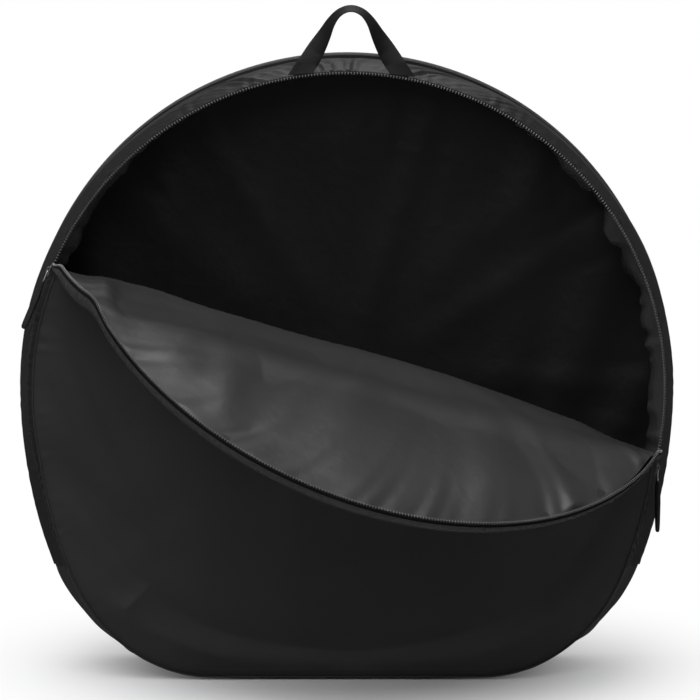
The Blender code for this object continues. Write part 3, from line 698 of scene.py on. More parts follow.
# A near-black cord laid along the back seam over the top: a painted shadow for the seam's groove, not a part of the
# bag.
SEAM_SHADOW_CLOTH = cloth_material("seam_shadow_cord", (0.003, 0.003, 0.003), rough=0.8, gloss=0.05, sheen=0.0, crinkle=0.0002)
seam_shadow_y = BACK_Y - BACK_THICK - INSIDE_BACK
x, z = edge_at(top_runs, gusset_face(top_runs, np.array([seam_shadow_y]))[:, 0] + SEAM_SHADOW_SUNK)
seam_shadow_line = np.stack([x, seam_shadow_y + 0 * x, z], -1)
seam_shadow_cord = cord_mesh(
    "back_seam_shadow_cord", seam_shadow_line, outward_at(top_runs), SEAM_SHADOW_THICK, 8, top_runs, False, SEAM_SHADOW_CLOTH
)
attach(seam_shadow_cord, "bag")

# The same black lining cloth as elsewhere, painted more than twice as light: a painted highlight for the light its
# folds catch inside the opening.
LINING_CLOTH_PAINTED_LIGHT = cloth_material(
    "lining_cloth_painted_light", (0.022, 0.022, 0.0222), 0.24, 0.8, 0.0, 0.0008, thread=0.0004, relief=0.00005
)
depths = np.linspace(LINED_FROM, LINED_TO, 30)
angles, deep = band_net(top_runs, depths)
from_front = deep - LINED_FROM
inside = np.sin(math.pi * from_front / (LINED_TO - LINED_FROM))
front_weight = np.clip(from_front / 0.012, 0, 1) ** 0.7 * np.clip((LINED_TO - deep) / 0.07, 0, 1)
at_side = np.abs(np.cos(np.radians(angles))) ** 1.5
slack = front_weight * (
    (0.0030 + 0.0200 * at_side)
    + (0.0012 + 0.0068 * at_side) * ruffle(top_runs, 0.075, 1.7)[:, None]
    + 0.0042 * at_side * ruffle(top_runs[:, None] + 1.6 * from_front, 0.115, 0.4)
    + (0.0010 + 0.0030 * at_side) * ruffle(top_runs, 0.027, 4.6)[:, None] * np.exp(-from_front / 0.03)
)
low_folds = np.clip(ruffle(top_runs, 0.074, 4.2)[:, None] * np.cos(deep / 0.03), -0.2, 1)
slack = np.maximum(slack + inside * 0.0015 * low_folds, 0)
under_band = gusset_inset(angles, deep) + pulled_in(angles, deep) + UNDER_BAND
out_inset = np.maximum(under_band, gusset_face(top_runs, depths) + UNDER_FACE)
in_inset = out_inset + LINING_THICK + slack + LINING_AWAY * inside
out_inset = np.maximum(out_inset, in_inset - LINING_THICK)
gusset_lining = crisp(band_shell("zip_gusset_lining", top_runs, depths, out_inset, in_inset, LINING_CLOTH_PAINTED_LIGHT))
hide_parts("gusset_lining")
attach(gusset_lining, "bag")


# Base band
# One plain band of black nylon from cross seam to cross seam, round both lower corners and under the flat base.
# It is sewn to the back panel and to the front panel, and to the zip gusset at its two ends.

LOW_START = run_at(180 + CROSS_SEAM) + SEAM_GAP
LOW_END = TOP_START - 2 * SEAM_GAP
LOW_FLAT_REACH = 0.05
SOFT_EDGE = 0.004
low_runs = np.concatenate(
    [
        np.linspace(LOW_START - ROUND, -BASE_HALF, 110),
        np.linspace(-BASE_HALF, BASE_HALF, 60)[1:-1],
        np.linspace(BASE_HALF, LOW_END, 110),
    ]
)
depths = np.linspace(FRONT_Y, BACK_Y, 32)
angles, deep = band_net(low_runs, depths)
low_flat = np.clip((np.abs(low_runs) - BASE_HALF) / LOW_FLAT_REACH, 0, 1)[:, None]
edge_soft = np.clip((deep - FRONT_Y) / SOFT_EDGE, 0, 1) * np.clip((BACK_Y - deep) / SOFT_EDGE, 0, 1)
near_cross = np.exp(-np.minimum(low_runs - low_runs[0], low_runs[-1] - low_runs) / 0.03)[:, None]
worn = low_flat * edge_soft * (
    0.0009 * ruffle(low_runs, 0.06, 2.2)[:, None]
    + 0.0007 * ruffle(low_runs, 0.024, 0.9)[:, None] * np.exp(-(deep - FRONT_Y) / 0.012)
    + 0.0007 * near_cross * np.sin(deep * 260)
)
level = gusset_inset(angles, deep)
face_inset = level - np.maximum(worn, -0.0004)
back_inset = np.maximum(level + BAND_THICK, face_inset + LEAST_THICK)
base_band = band_shell("base_band_cloth", low_runs, depths, face_inset, back_inset, NYLON_CLOTH)
for vertex in base_band.data.vertices:
    vertex.co.z = max(vertex.co.z, 0)
crisp(base_band)
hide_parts("base_band")
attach(base_band, "bag")


# Base board and its lining
# A stiff fibre board lies in the flat base. Over it a loose black lining runs up both lower corners, inside the
# base band.

OVER_BOARD = 0.0036
BOARD_IN = 0.0075


def grained(name, colour, metallic, rough, grain, relief, gloss=0.5, worn=None, coat=0.0):
    """A moulded, pressed or cast finish: a fine grain in colour, gloss and relief, and paler edges where a colour is
    given: worn paint on the sliders, a painted glint on the rings.
    """
    made, tree, shader = painted(name)
    place = node(tree, "ShaderNodeTexCoord").outputs["Object"]
    speck = node(tree, "ShaderNodeTexNoise", {"Scale": grain, "Detail": 5.0, "Vector": place}).outputs["Fac"]
    cloud = node(tree, "ShaderNodeTexNoise", {"Scale": grain / 12, "Detail": 3.0, "Vector": place}).outputs["Fac"]
    dark, pale = ((*(share * c for c in colour), 1) for share in (0.75, 1.25))
    paint = node(tree, "ShaderNodeMix", {"A": dark, "B": pale, "Factor": speck}, data_type="RGBA").outputs["Result"]
    # Edges are paled where a colour is given: worn paint on the sliders, and on the rings a painted glint.
    if worn:
        edge = node(tree, "ShaderNodeNewGeometry").outputs["Pointiness"]
        edge_wear_and_glint = node(tree, "ShaderNodeMapRange", {"From Min": 0.54, "From Max": 0.64, "Value": edge})
        patch = node(tree, "ShaderNodeMath", {0: edge_wear_and_glint.outputs[0], 1: cloud}, operation="MULTIPLY")
        pale_edge_mix = {"B": (*worn, 1), "Factor": patch.outputs[0], "A": paint}
        paint = node(tree, "ShaderNodeMix", pale_edge_mix, data_type="RGBA").outputs["Result"]
    matt = node(tree, "ShaderNodeMapRange", {"To Min": rough - 0.1, "To Max": rough + 0.12, "Value": cloud})
    bump = node(tree, "ShaderNodeBump", {"Strength": 0.8, "Distance": relief, "Height": speck})
    feed(
        tree,
        shader,
        {
            "Base Color": paint,
            "Roughness": matt.outputs[0],
            "Normal": bump.outputs[0],
            "Metallic": metallic,
            "Specular IOR Level": gloss,
            "Coat Weight": coat,
        },
    )
    return made


FIBRE_BOARD = grained("fibre_board", (0.02, 0.019, 0.018), 0.0, 0.7, 420, 0.0002, gloss=0.2)
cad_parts["base_board"].material_slots[0].material = FIBRE_BOARD

depths = np.linspace(FRONT_Y + BOARD_IN, BACK_Y - BOARD_IN, 26)
angles, deep = band_net(low_runs, depths)
inside = np.sin(math.pi * (deep - depths[0]) / (depths[-1] - depths[0]))
slack = inside * (
    0.0022 * np.clip(ruffle(low_runs, 0.045, 3.1), -0.3, 1.2)[:, None]
    + 0.0012 * np.clip(ruffle(low_runs, 0.11, 0.6)[:, None] * np.cos(deep / 0.028), -0.2, 1)
)
in_inset = gusset_inset(angles, deep) + OVER_BOARD + LINING_THICK + 0.0008 * inside + np.maximum(slack, 0)
base_lining = crisp(
    band_shell("base_lining_cloth", low_runs, depths, in_inset - LINING_THICK, in_inset, LINING_CLOTH)
)
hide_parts("base_lining")
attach(base_lining, "bag")


# Front panel and its folded upper part
# One padded panel: black nylon outside, thin foam and a grey coated lining inside. Its upper part is laid over
# forward along an oblique fold and droops towards its rim. It is made shut, parted near the fold and laid open,
# and both ends of the fold are let down along the zip, where the open sliders pull them in.

FOLD_TILT = 17.5
FOLD_OPEN = 95.0
BEND_REACH = 0.110
BEND_TILT = 26.7
BEND_OPEN = 25.0
FOLD_ABOVE_CENTRE = 0.039
FOLD_HALF = 0.016
BEND_HALF = 0.036
PART_AT = 0.0165
SINK_LEFT = 0.013
SINK_RIGHT = 0.010
SINK_INWARD = -0.04
SINK_FROM, SINK_OVER = 0.27, 0.06
SINK_BELOW, SINK_ABOVE = 0.030, 0.060
SINK_DEEP = 0.018
HALVINGS = 24
FRONT_NET = 230
FRONT_CROWN = 0.006
FRONT_DIP = 0.005
FRONT_INSIDE = 0.0060
LINING_INSIDE = 0.0070
LINING_ROUND = 0.003
ROUND_REACH = 0.10

FOLD_SHUT = Matrix.Translation((0, FRONT_Y, CENTRE_Z + FOLD_ABOVE_CENTRE))
FOLD_SHUT = FOLD_SHUT @ Matrix.Rotation(math.radians(FOLD_TILT), 4, "Y")
FOLD_UP = FOLD_SHUT.to_3x3() @ Vector((0, 0, 1))
CHORD_MIDDLE = Vector((0, FRONT_Y, CENTRE_Z)) + FOLD_UP * FOLD_ABOVE_CENTRE * math.cos(math.radians(FOLD_TILT))
BEND_SHUT = Matrix.Translation(CHORD_MIDDLE + FOLD_UP * BEND_REACH) @ Matrix.Rotation(math.radians(BEND_TILT), 4, "Y")
FOLDED = FOLD_SHUT @ Matrix.Rotation(math.radians(FOLD_OPEN), 4, "X") @ FOLD_SHUT.inverted()


def moved(points, matrix):
    """Points carried by a matrix."""
    table = np.array(matrix)
    return points @ table[:3, :3].T + table[:3, 3]


def turned(local, angle):
    """Points turned about the x axis, each by its own angle."""
    c, s = np.cos(angle), np.sin(angle)
    return np.stack([local[:, 0], local[:, 1] * c - local[:, 2] * s, local[:, 1] * s + local[:, 2] * c], -1)


def smooth_share(value):
    """A share eased in and out."""
    return value * value * (3 - 2 * value)


def sunk(points):
    """Where shut points go as the front's ends are let down along the zip: least at the panel's own seam."""
    local = moved(points, FOLD_SHUT.inverted())
    from_end = np.clip((np.abs(local[:, 0]) - SINK_FROM) / SINK_OVER, 0, 1)
    below = 1 - np.clip(-local[:, 2] / SINK_BELOW, 0, 1) ** 2
    above = 1 - np.clip(local[:, 2] / SINK_ABOVE, 0, 1)
    near = np.clip(np.where(local[:, 2] < 0, below, above), 0, 1)
    depth = np.clip(0.1 + 0.9 * local[:, 1] / SINK_DEEP, 0, 1)
    share = (smooth_share(near) * smooth_share(from_end) * depth)[:, None]
    share = share * np.where(local[:, :1] < 0, SINK_LEFT, SINK_RIGHT)
    inward = np.where(points[:, :1] < 0, SINK_INWARD, -SINK_INWARD) * (1, 0, 0)
    return share * np.array(-FOLD_UP) + share * inward


def eased_turn(points, frame_at, degrees, half):
    """Bends points about a hinge line, eased over a half width each side."""
    local = moved(points, frame_at.inverted())
    full = math.radians(degrees)
    start = np.array((0, 0, -half))
    end = np.array((0, -half * math.sin(full), half * math.cos(full)))
    line = end - start
    low, high = np.zeros(len(local)), np.ones(len(local))
    for _ in range(HALVINGS):
        middle = (low + high) / 2
        t = np.clip((turned(local, middle * full) - start) @ line / (line @ line), 0, 1)
        short = smooth_share(t) > middle
        low = np.where(short, middle, low)
        high = np.where(short, high, middle)
    bent = moved(turned(local, (low + high) / 2 * full), frame_at)
    return bent, moved(np.stack([start, end]), frame_at)


def lay_open(piece, high):
    """Moves a shut piece, all above or all below the parting line, to where the open bag has it."""
    points = np.empty(len(piece.data.vertices) * 3)
    piece.data.vertices.foreach_get("co", points)
    points = points.reshape(-1, 3)
    drop = sunk(points)
    if high:
        points, ends = (moved(part, FOLDED) for part in eased_turn(points, BEND_SHUT, BEND_OPEN, BEND_HALF))
    else:
        points, ends = eased_turn(points, FOLD_SHUT, FOLD_OPEN, FOLD_HALF)
    piece.data.vertices.foreach_set("co", (points + drop).astype(np.float32).ravel())
    piece.data.update()
    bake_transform(piece)


def part_front(piece, name_low, name_high):
    """Parts a shut piece of the front just above the fold, closes both, and lays each where the open bag has it."""
    parts = []
    for name, side in ((name_low, -1), (name_high, 1)):
        bm = bmesh.new()
        bm.from_mesh(piece.data)
        cut = bmesh.ops.bisect_plane(
            bm,
            geom=bm.verts[:] + bm.edges[:] + bm.faces[:],
            plane_co=FOLD_SHUT.translation + FOLD_UP * PART_AT,
            plane_no=FOLD_UP * side,
            clear_inner=True,
        )
        edges = [e for e in cut["geom_cut"] if isinstance(e, bmesh.types.BMEdge)]
        caps = bmesh.ops.holes_fill(bm, edges=edges, sides=0)
        bmesh.ops.triangulate(bm, faces=caps["faces"])
        bmesh.ops.recalc_face_normals(bm, faces=bm.faces)
        mesh = bpy.data.meshes.new(name)
        bm.to_mesh(mesh)
        bm.free()
        mesh.materials.append(piece.data.materials[0])
        mesh.shade_smooth()
        mesh.set_sharp_from_angle(angle=math.radians(45))
        made = shown_object(name, mesh)
        lay_open(made, side > 0)
        parts.append(made)
    old = piece.data
    bpy.data.objects.remove(piece)
    bpy.data.meshes.remove(old)
    return parts


def front_edge(angle):
    """How far the front's net stays inside the outline."""
    return front_inset(angle) + PANEL_IN


def from_fold(spots):
    """How far spots (x, z) of the shut front lie along the fold and above it."""
    away = spots - (FOLD_SHUT.translation.x, FOLD_SHUT.translation.z)
    return away @ np.array((FOLD_UP.z, -FOLD_UP.x)), away @ np.array((FOLD_UP.x, FOLD_UP.z))


net = panel_net(FRONT_NET, front_edge)
spots, inward, run, faces, rim = net
soft = np.clip(inward / ROUND_REACH, 0, 1)
round_out = soft * (2 - soft)
from_seam = np.clip(inward / 0.006, 0, 1)
gather = 0.0007 * ruffle(run, 0.019, 3.4) * np.exp(-inward / 0.013) * np.clip(inward / 0.003, 0, 1)
worn = creases(
    spots,
    (
        (-0.152, 0.01, -0.150, 0.27, 0.007, -0.0007),
        (0.155, 0.01, 0.156, 0.17, 0.007, -0.0007),
        (-0.33, 0.16, -0.12, 0.30, 0.030, 0.0016),
        (-0.34, 0.25, -0.20, 0.13, 0.018, -0.0016),
        (-0.31, 0.11, -0.16, 0.20, 0.014, 0.0012),
        (-0.25, 0.10, 0.05, 0.30, 0.050, 0.002),
        (0.05, 0.10, 0.30, 0.22, 0.045, 0.002),
        (0.33, 0.20, 0.22, 0.10, 0.020, -0.0012),
        (-0.30, 0.46, -0.18, 0.70, 0.030, 0.003),
        (0.10, 0.40, 0.20, 0.66, 0.040, 0.003),
    ),
)
slack = settled(
    "settling_front", front_edge, FRONT_NET, growth=0.010, gravity=0.8, push=0.4, bending=3.0, frames=20
)
slack = np.clip(0.85 * slack, -FRONT_DIP, FRONT_DIP) * from_seam
outer_y = SEAM_Y - FRONT_CROWN * round_out - gather - worn * soft - slack
inner_y = FRONT_Y + FRONT_INSIDE - 0.3 * FRONT_CROWN * round_out
front_shell = panel_shell("front_shut", net, outer_y, inner_y, NYLON_CLOTH)
front_panel, flap_panel = part_front(front_shell, "front_panel", "flap_panel")
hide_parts("front_outer", "front_foam", "flap_near_front_outer", "flap_near_front_foam")
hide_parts("flap_far_front_outer", "flap_far_front_foam")

COATED_CLOTH = cloth_material(
    "coated_cloth", (0.032, 0.032, 0.0322), 0.36, 0.36, 0.0, 0.0005, thread=0.0005, relief=0.00005, mottle=0.12
)
along_fold, above_fold = from_fold(spots)
pressed = creases(
    spots,
    (
        (-0.285, 0.47, -0.225, 0.60, 0.016, 0.0075),
        (-0.255, 0.46, -0.185, 0.63, 0.018, -0.0030),
        (-0.20, 0.45, -0.10, 0.66, 0.035, 0.003),
        (-0.13, 0.48, -0.02, 0.69, 0.022, 0.0032),
        (0.02, 0.42, 0.12, 0.67, 0.040, 0.004),
        (0.16, 0.36, 0.26, 0.56, 0.035, 0.003),
        (-0.05, 0.42, 0.00, 0.68, 0.030, -0.003),
    ),
)
crest = 0.0085 * np.exp(-(((along_fold - 0.10) / 0.15) ** 2)) * np.exp(-(((above_fold - 0.012) / 0.040) ** 2))
sag = 0.0035 * np.exp(-(((above_fold - 0.21) / 0.07) ** 2)) - 0.0045 * np.exp(-(((above_fold - 0.105) / 0.050) ** 2))
rim_folds = (
    0.0018 * ruffle(run + 0.6 * inward, 0.036, 2.6) * np.exp(-inward / 0.030)
    + 0.0034 * ruffle(run + 0.55 * inward, 0.105, 0.3) * np.exp(-inward / 0.085)
)
off_crest = 0.25 + 0.75 * np.clip(np.abs(above_fold - 0.005) / 0.035, 0, 1) ** 2
off_crest = off_crest * np.clip((0.16 - along_fold) / 0.24, 0.3, 1)
slack = settled(
    "slack_front_lining", front_edge, FRONT_NET, growth=0.025, gravity=0.35, push=0.0, bending=0.6, frames=18
)
lining_rise = (
    pressed * np.clip(inward / 0.04, 0, 1)
    + (crest + sag) * np.clip(inward / 0.06, 0, 1)
    + rim_folds * from_seam
    + np.clip(0.62 * slack, -0.004, 0.008) * from_seam * off_crest
)
lining_y = FRONT_Y + LINING_INSIDE + LINING_ROUND * round_out + np.maximum(lining_rise, -0.003)
lining_shell = panel_shell("lining_shut", net, lining_y + LINING_THICK, lining_y, COATED_CLOTH)
front_lining, flap_lining = part_front(lining_shell, "front_panel_lining", "flap_lining")
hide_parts("front_lining", "flap_near_front_lining")
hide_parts("flap_far_front_lining")
high = above_fold[faces].mean(1) > PART_AT


# Front strip
# The narrow band of nylon between the zip's front tape and the front panel. It is gathered hard by both seams, so
# it puckers across all along its length. Where it is turned over with the front its colour is painted paler, a
# painted highlight.

STRIP_RUNS = 1100

depths = np.linspace(SEAM_Y, STRIP_BACK_Y, 11)
runs = np.linspace(TOP_START, TOP_END, STRIP_RUNS)
angles, deep = band_net(runs, depths)
across = np.sin(math.pi * np.clip((deep - SEAM_Y) / (STRIP_BACK_Y - SEAM_Y), 0, 1))
puff = across * (0.0018 + 0.0016 * ruffle(runs, 0.0115, 0.5)[:, None])
level = gusset_inset(angles, deep)
strip_shell = band_shell("strip_shut", runs, depths, level - puff, level + BAND_THICK, STRIP_CLOTH)
front_strip, flap_strip = part_front(strip_shell, "front_strip", "flap_strip")
# The turned-over part uses the same nylon painted paler: a painted highlight for the light that part catches.
flap_strip.data.materials[0] = cloth_material(
    "strip_cloth_painted_light", (0.026, 0.026, 0.0263), rough=0.4, gloss=0.4, sheen=0.04, crinkle=0.0006
)
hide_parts("front_strip_left", "front_strip_right")
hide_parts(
    "flap_near_front_strip_left", "flap_near_front_strip_right", "flap_far_front_strip"
)
strip_line = np.stack(edge_at(runs, gusset_inset(facing_at(runs), SEAM_Y + 0 * runs)), -1)


# Front seam welt
# The front panel's turned edge is bound with a narrow strip and sewn into the seam with the front strip, all round.
# It shows as a thin raised line along the panel, and along the rim of the folded part.

WELT_RADIUS = 0.0011
WELT_IN = 0.0009
WELT_FORWARD = 0.0007
WELT_SIDES = 8


def ring_line(runs, y, offset):
    """Points along the gusset's surface at one depth, set in by an offset, with their outward directions."""
    x, z = edge_at(runs, gusset_inset(facing_at(runs), y + 0 * runs) + offset)
    return np.stack([x, y + 0 * runs, z], -1), outward_at(runs)


runs = np.linspace(0, ROUND, STRIP_RUNS, endpoint=False)
line, outs = ring_line(runs, SEAM_Y, WELT_IN)
line[:, 1] += 0.0002 * ruffle(runs, 0.011, 2.2) - WELT_FORWARD
line[:, 2] = np.maximum(line[:, 2], WELT_RADIUS)
welt = cord_mesh("welt_shut", line, outs, WELT_RADIUS, WELT_SIDES, runs, True, NYLON_CLOTH)
for piece in part_front(welt, "front_seam_welt", "flap_seam_welt"):
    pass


# Zip tapes
# Two herringbone polyester tapes: one sewn inside the gusset's front edge from slider to slider, and one inside the
# front strip, which folds down with the front. Plain nylon closes the slot below each slider.

ZIP_LEFT_END = 157.9
ZIP_RIGHT_END = -14.4
SLIDER_LENGTH = 0.014
SLIDER_TURN = math.degrees(SLIDER_LENGTH / ZIP_RADIUS)
COIL_Y = 0.0023
TAPE_WIDTH = 0.016
TAPE_IN = 0.0013
TAPE_OUT = 0.0021
TAPE_INTO_SLIDER = 0.3 * SLIDER_TURN
END_BELOW_SLIDER = 0.85 * SLIDER_TURN
END_CLEAR = 0.0003
TAPE_CLOTH = cloth_material(
    "tape_cloth", (0.006, 0.006, 0.0064), 0.6, 0.12, 0.01, 0.0003, thread=0.0009, relief=0.00025
)


def run_from(polar):
    """The run along the outline to where the zip's circle has this polar angle about its centre."""
    turn = math.radians(polar)
    across, up = ZIP_RADIUS * math.cos(turn), ZIP_RADIUS * math.sin(turn)
    if up >= 0:
        return run_at(polar)
    lean = math.degrees(math.atan2(up, abs(across) + SIDE_SHIFT))
    return run_at(lean if across > 0 else 180 - lean)


def tape_shell(name, depths):
    """A tape of even thickness just under the gusset's cloth, from slider to slider."""
    level = gusset_inset(*band_net(zip_runs, depths))
    return band_shell(name, zip_runs, depths, level + TAPE_IN, level + TAPE_OUT, TAPE_CLOTH)


ZIP_FROM = run_from(ZIP_RIGHT_END - TAPE_INTO_SLIDER)
ZIP_TO = run_from(ZIP_LEFT_END + TAPE_INTO_SLIDER)
zip_runs = np.linspace(ZIP_FROM, ZIP_TO, GUSSET_RUNS)
back_tape = crisp(tape_shell("gusset_tape", np.linspace(ZIP_Y + COIL_Y, ZIP_Y + TAPE_WIDTH, 7)))
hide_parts("zip_tape_back")
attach(back_tape, "bag")

shut_tape = tape_shell("tape_shut", np.linspace(ZIP_Y - TAPE_WIDTH, ZIP_Y - COIL_Y, 7))
low_tape, flap_tape = part_front(shut_tape, "fold_tape", "flap_tape")
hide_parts("flap_near_zip_tape_left", "flap_near_zip_tape_right")
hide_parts("flap_far_zip_tape")

depths = np.linspace(STRIP_BACK_Y + END_CLEAR, BAND_FRONT_Y - END_CLEAR, 9)
for end_name, end_from, end_to in (
    ("zip_end_left", run_from(ZIP_LEFT_END + END_BELOW_SLIDER), TOP_END),
    ("zip_end_right", TOP_START, run_from(ZIP_RIGHT_END - END_BELOW_SLIDER)),
):
    runs = np.linspace(end_from, end_to, 120)
    angles, deep = band_net(runs, depths)
    swell = np.sin(math.pi * (deep - depths[0]) / (depths[-1] - depths[0]))
    swell = swell * (0.0007 + 0.0006 * ruffle(runs, 0.013, 1.4)[:, None])
    level = gusset_inset(angles, deep)
    end_band = crisp(
        band_shell(end_name + "_cloth", runs, depths, level - swell, level + BAND_THICK, NYLON_CLOTH)
    )
    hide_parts(end_name)
    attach(end_band, "bag")


# Zip coils
# Each coil is one stiff nylon thread wound into even turns and sewn round its tape's edge. The thread is black, but
# it is painted grey as a painted highlight, so the turns show as a fine bright dotted line round the opening and
# along the rim of the folded part.

COIL_SIZES = {"Pitch": 0.0035, "Wire": 0.00040, "Wide": 0.0025, "High": 0.0027}
COIL_LEAN = 0.2
COIL_RUNS = 1400
SEED = 7


def along_path_tree(name, sizes, build_unit, material, jitter):
    """A tree that repeats a small part along a path at an even pitch, its z along the path and its x outwards."""
    tree = bpy.data.node_groups.new(name, "GeometryNodeTree")
    tree.interface.new_socket(name="Path", in_out="INPUT", socket_type="NodeSocketGeometry")
    for size_name, value in sizes.items():
        socket = tree.interface.new_socket(name=size_name, in_out="INPUT", socket_type="NodeSocketFloat")
        socket.default_value = value
    tree.interface.new_socket(name="Geometry", in_out="OUTPUT", socket_type="NodeSocketGeometry")
    given = node(tree, "NodeGroupInput").outputs
    curve = node(tree, "GeometryNodeMeshToCurve", {"Mesh": given["Path"]})
    pitch = {"Curve": curve.outputs["Curve"], "Length": given["Pitch"]}
    even = node(tree, "GeometryNodeResampleCurve", pitch, mode="LENGTH")
    outward = node(tree, "GeometryNodeInputNamedAttribute", {"Name": "outward"}, data_type="FLOAT_VECTOR")
    axes = {
        "Primary Axis": node(tree, "GeometryNodeInputTangent").outputs[0],
        "Secondary Axis": outward.outputs["Attribute"],
    }
    aim = node(tree, "FunctionNodeAxesToRotation", axes, primary_axis="Z", secondary_axis="X")
    size = node(tree, "FunctionNodeRandomValue", {"Seed": SEED}, data_type="FLOAT")
    least, most = [s for s in size.inputs if s.type == "VALUE"][:2]
    least.default_value, most.default_value = 1 - jitter, 1 + jitter
    units = {
        "Points": even.outputs["Curve"],
        "Instance": build_unit(tree, given),
        "Rotation": aim.outputs[0],
        "Scale": next(s for s in size.outputs if s.type == "VALUE"),
    }
    placed = node(tree, "GeometryNodeInstanceOnPoints", units)
    solid = node(tree, "GeometryNodeRealizeInstances", {"Geometry": placed.outputs["Instances"]})
    dress = node(
        tree, "GeometryNodeSetMaterial", {"Material": material, "Geometry": solid.outputs["Geometry"]}
    )
    node(tree, "NodeGroupOutput", {"Geometry": dress.outputs["Geometry"]})
    return tree


def smooth_unit(tree, mesh):
    """The small part, shaded smooth."""
    return node(tree, "GeometryNodeSetShadeSmooth", {"Geometry": mesh}).outputs["Geometry"]


def coil_turn(tree, given):
    """One turn: a rounded loop of thread across the path, leaning a little as a wound one does."""
    loop = node(tree, "GeometryNodeCurvePrimitiveCircle", {"Resolution": 10, "Radius": 0.5})
    span = node(tree, "ShaderNodeCombineXYZ", {"X": given["High"], "Y": given["Wide"], "Z": 1.0})
    shape = {"Geometry": loop.outputs["Curve"], "Scale": span.outputs[0], "Rotation": (COIL_LEAN, 0, 0)}
    lean = node(tree, "GeometryNodeTransform", shape)
    thread = node(tree, "GeometryNodeCurvePrimitiveCircle", {"Resolution": 5, "Radius": given["Wire"]})
    wound = {"Curve": lean.outputs["Geometry"], "Profile Curve": thread.outputs["Curve"]}
    return smooth_unit(tree, node(tree, "GeometryNodeCurveToMesh", wound).outputs["Mesh"])


def repeated(name, tree, lines, sizes):
    """A plain mesh of a tree's small parts along open lines: each (points, outward directions)."""
    edges, first = [], 0
    for line, _ in lines:
        numbers = list(range(first, first + len(line)))
        edges += list(zip(numbers, numbers[1:]))
        first += len(line)
    path = bpy.data.meshes.new(name + "_path")
    path.from_pydata(np.vstack([line for line, _ in lines]).tolist(), edges, [])
    outs = np.vstack([outs for _, outs in lines]).astype(np.float32)
    path.attributes.new("outward", "FLOAT_VECTOR", "POINT").data.foreach_set("vector", outs.ravel())
    holder = shown_object(name + "_path", path)
    step = holder.modifiers.new("repeat", "NODES")
    step.node_group = tree
    for item in tree.interface.items_tree:
        if item.name in sizes:
            step[item.identifier] = sizes[item.name]
    holder.update_tag()
    graph = bpy.context.evaluated_depsgraph_get()
    mesh = bpy.data.meshes.new_from_object(holder.evaluated_get(graph), depsgraph=graph)
    mesh.name = name
    holder.modifiers.remove(step)
    bpy.data.objects.remove(holder)
    bpy.data.meshes.remove(path)
    return shown_object(name, mesh)


def split_at_parting(points, outs):
    """Cuts a shut line at the parting line: the lines that stay low, and those that go high."""
    high = (points - np.array(FOLD_SHUT.translation)) @ np.array(FOLD_UP) > PART_AT
    cuts = np.nonzero(np.diff(high.astype(int)))[0] + 1
    low_lines, high_lines = [], []
    for numbers in np.split(np.arange(len(points)), cuts):
        if len(numbers) > 1:
            (high_lines if high[numbers[0]] else low_lines).append((points[numbers], outs[numbers]))
    return low_lines, high_lines


# The coil's thread is black; its grey colour here is a painted highlight, so the turns read as bright dots.
COIL_THREAD_PAINTED_LIGHT = grained("coil_thread_painted_highlight", (0.15, 0.15, 0.153), 0.0, 0.22, 900, 0.00005, gloss=0.7, coat=0.6)
COIL_TREE = along_path_tree("coil_turns", COIL_SIZES, coil_turn, COIL_THREAD_PAINTED_LIGHT, 0.02)
runs = np.linspace(ZIP_FROM, ZIP_TO, COIL_RUNS)
back_line = ring_line(runs, ZIP_Y + COIL_Y, (TAPE_IN + TAPE_OUT) / 2)
back_coil = repeated("gusset_coil", COIL_TREE, [back_line], COIL_SIZES)
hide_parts("zip_coil_back")
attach(back_coil, "bag")

low_lines, high_lines = split_at_parting(*ring_line(runs, ZIP_Y - COIL_Y, (TAPE_IN + TAPE_OUT) / 2))
low_coil = repeated("fold_coil", COIL_TREE, low_lines, COIL_SIZES)
high_coil = repeated("flap_coil", COIL_TREE, high_lines, COIL_SIZES)
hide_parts("flap_near_zip_coil_left", "flap_near_zip_coil_right")
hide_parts("flap_far_zip_coil")
for piece, high in ((low_coil, False), (high_coil, True)):
    lay_open(piece, high)


# Zip sliders
# Two cast and blackened sliders: an upper and a lower plate with turned-in flanges, joined by a post between the
# coils, and an arched bridge on top that holds the pull's ring.

SLIDER_RADIUS = ZIP_RADIUS - (TAPE_IN + TAPE_OUT) / 2
PLATE_GAP = 0.0018
PLATE = 0.0011
PLATE_TOP = PLATE_GAP + PLATE
PLATE_EDGE = 0.0003
LIP_GAP = 0.0008
LIP_THICK = 0.0009
LIP_EDGE = 0.00015
OVERLAP = 0.0003
POST_OUTLINE = ((0.0030, 0.0), (0.0050, 0.0006), (0.0066, 0.0006), (0.0066, -0.0006), (0.0050, -0.0006))
POST_INTO_PLATE = 0.0002
POST_EDGE = 0.0001
BRIDGE_HALF_LONG = 0.0045
BRIDGE_WIDE = 0.0024
BRIDGE_HIGH = 0.0033
BRIDGE_LEG = 0.0012
BRIDGE_THICK = 0.0009
BRIDGE_EDGE = 0.00035
SLIDER_METAL = grained("slider_metal", (0.16, 0.16, 0.165), 0.7, 0.28, 700, 0.00006, worn=(0.6, 0.59, 0.58))
SLIDER_OUTLINE = (
    (-0.0070, 0.0030),
    (-0.0066, 0.0043),
    (-0.0054, 0.0049),
    (-0.0020, 0.0050),
    (0.0020, 0.0050),
    (0.0046, 0.0052),
    (0.0062, 0.0048),
    (0.0070, 0.0034),
    (0.0068, 0.0012),
)
LIP_OUTLINE = SLIDER_OUTLINE[2:-2]


def slider_frame(polar):
    """The slider's own frame: x outwards, y back, z anticlockwise along the zip, as seen from the front."""
    turn = Matrix.Rotation(-math.radians(polar), 4, "Y")
    return Matrix.Translation((0, ZIP_Y, CENTRE_Z)) @ turn @ Matrix.Translation((SLIDER_RADIUS, 0, 0))


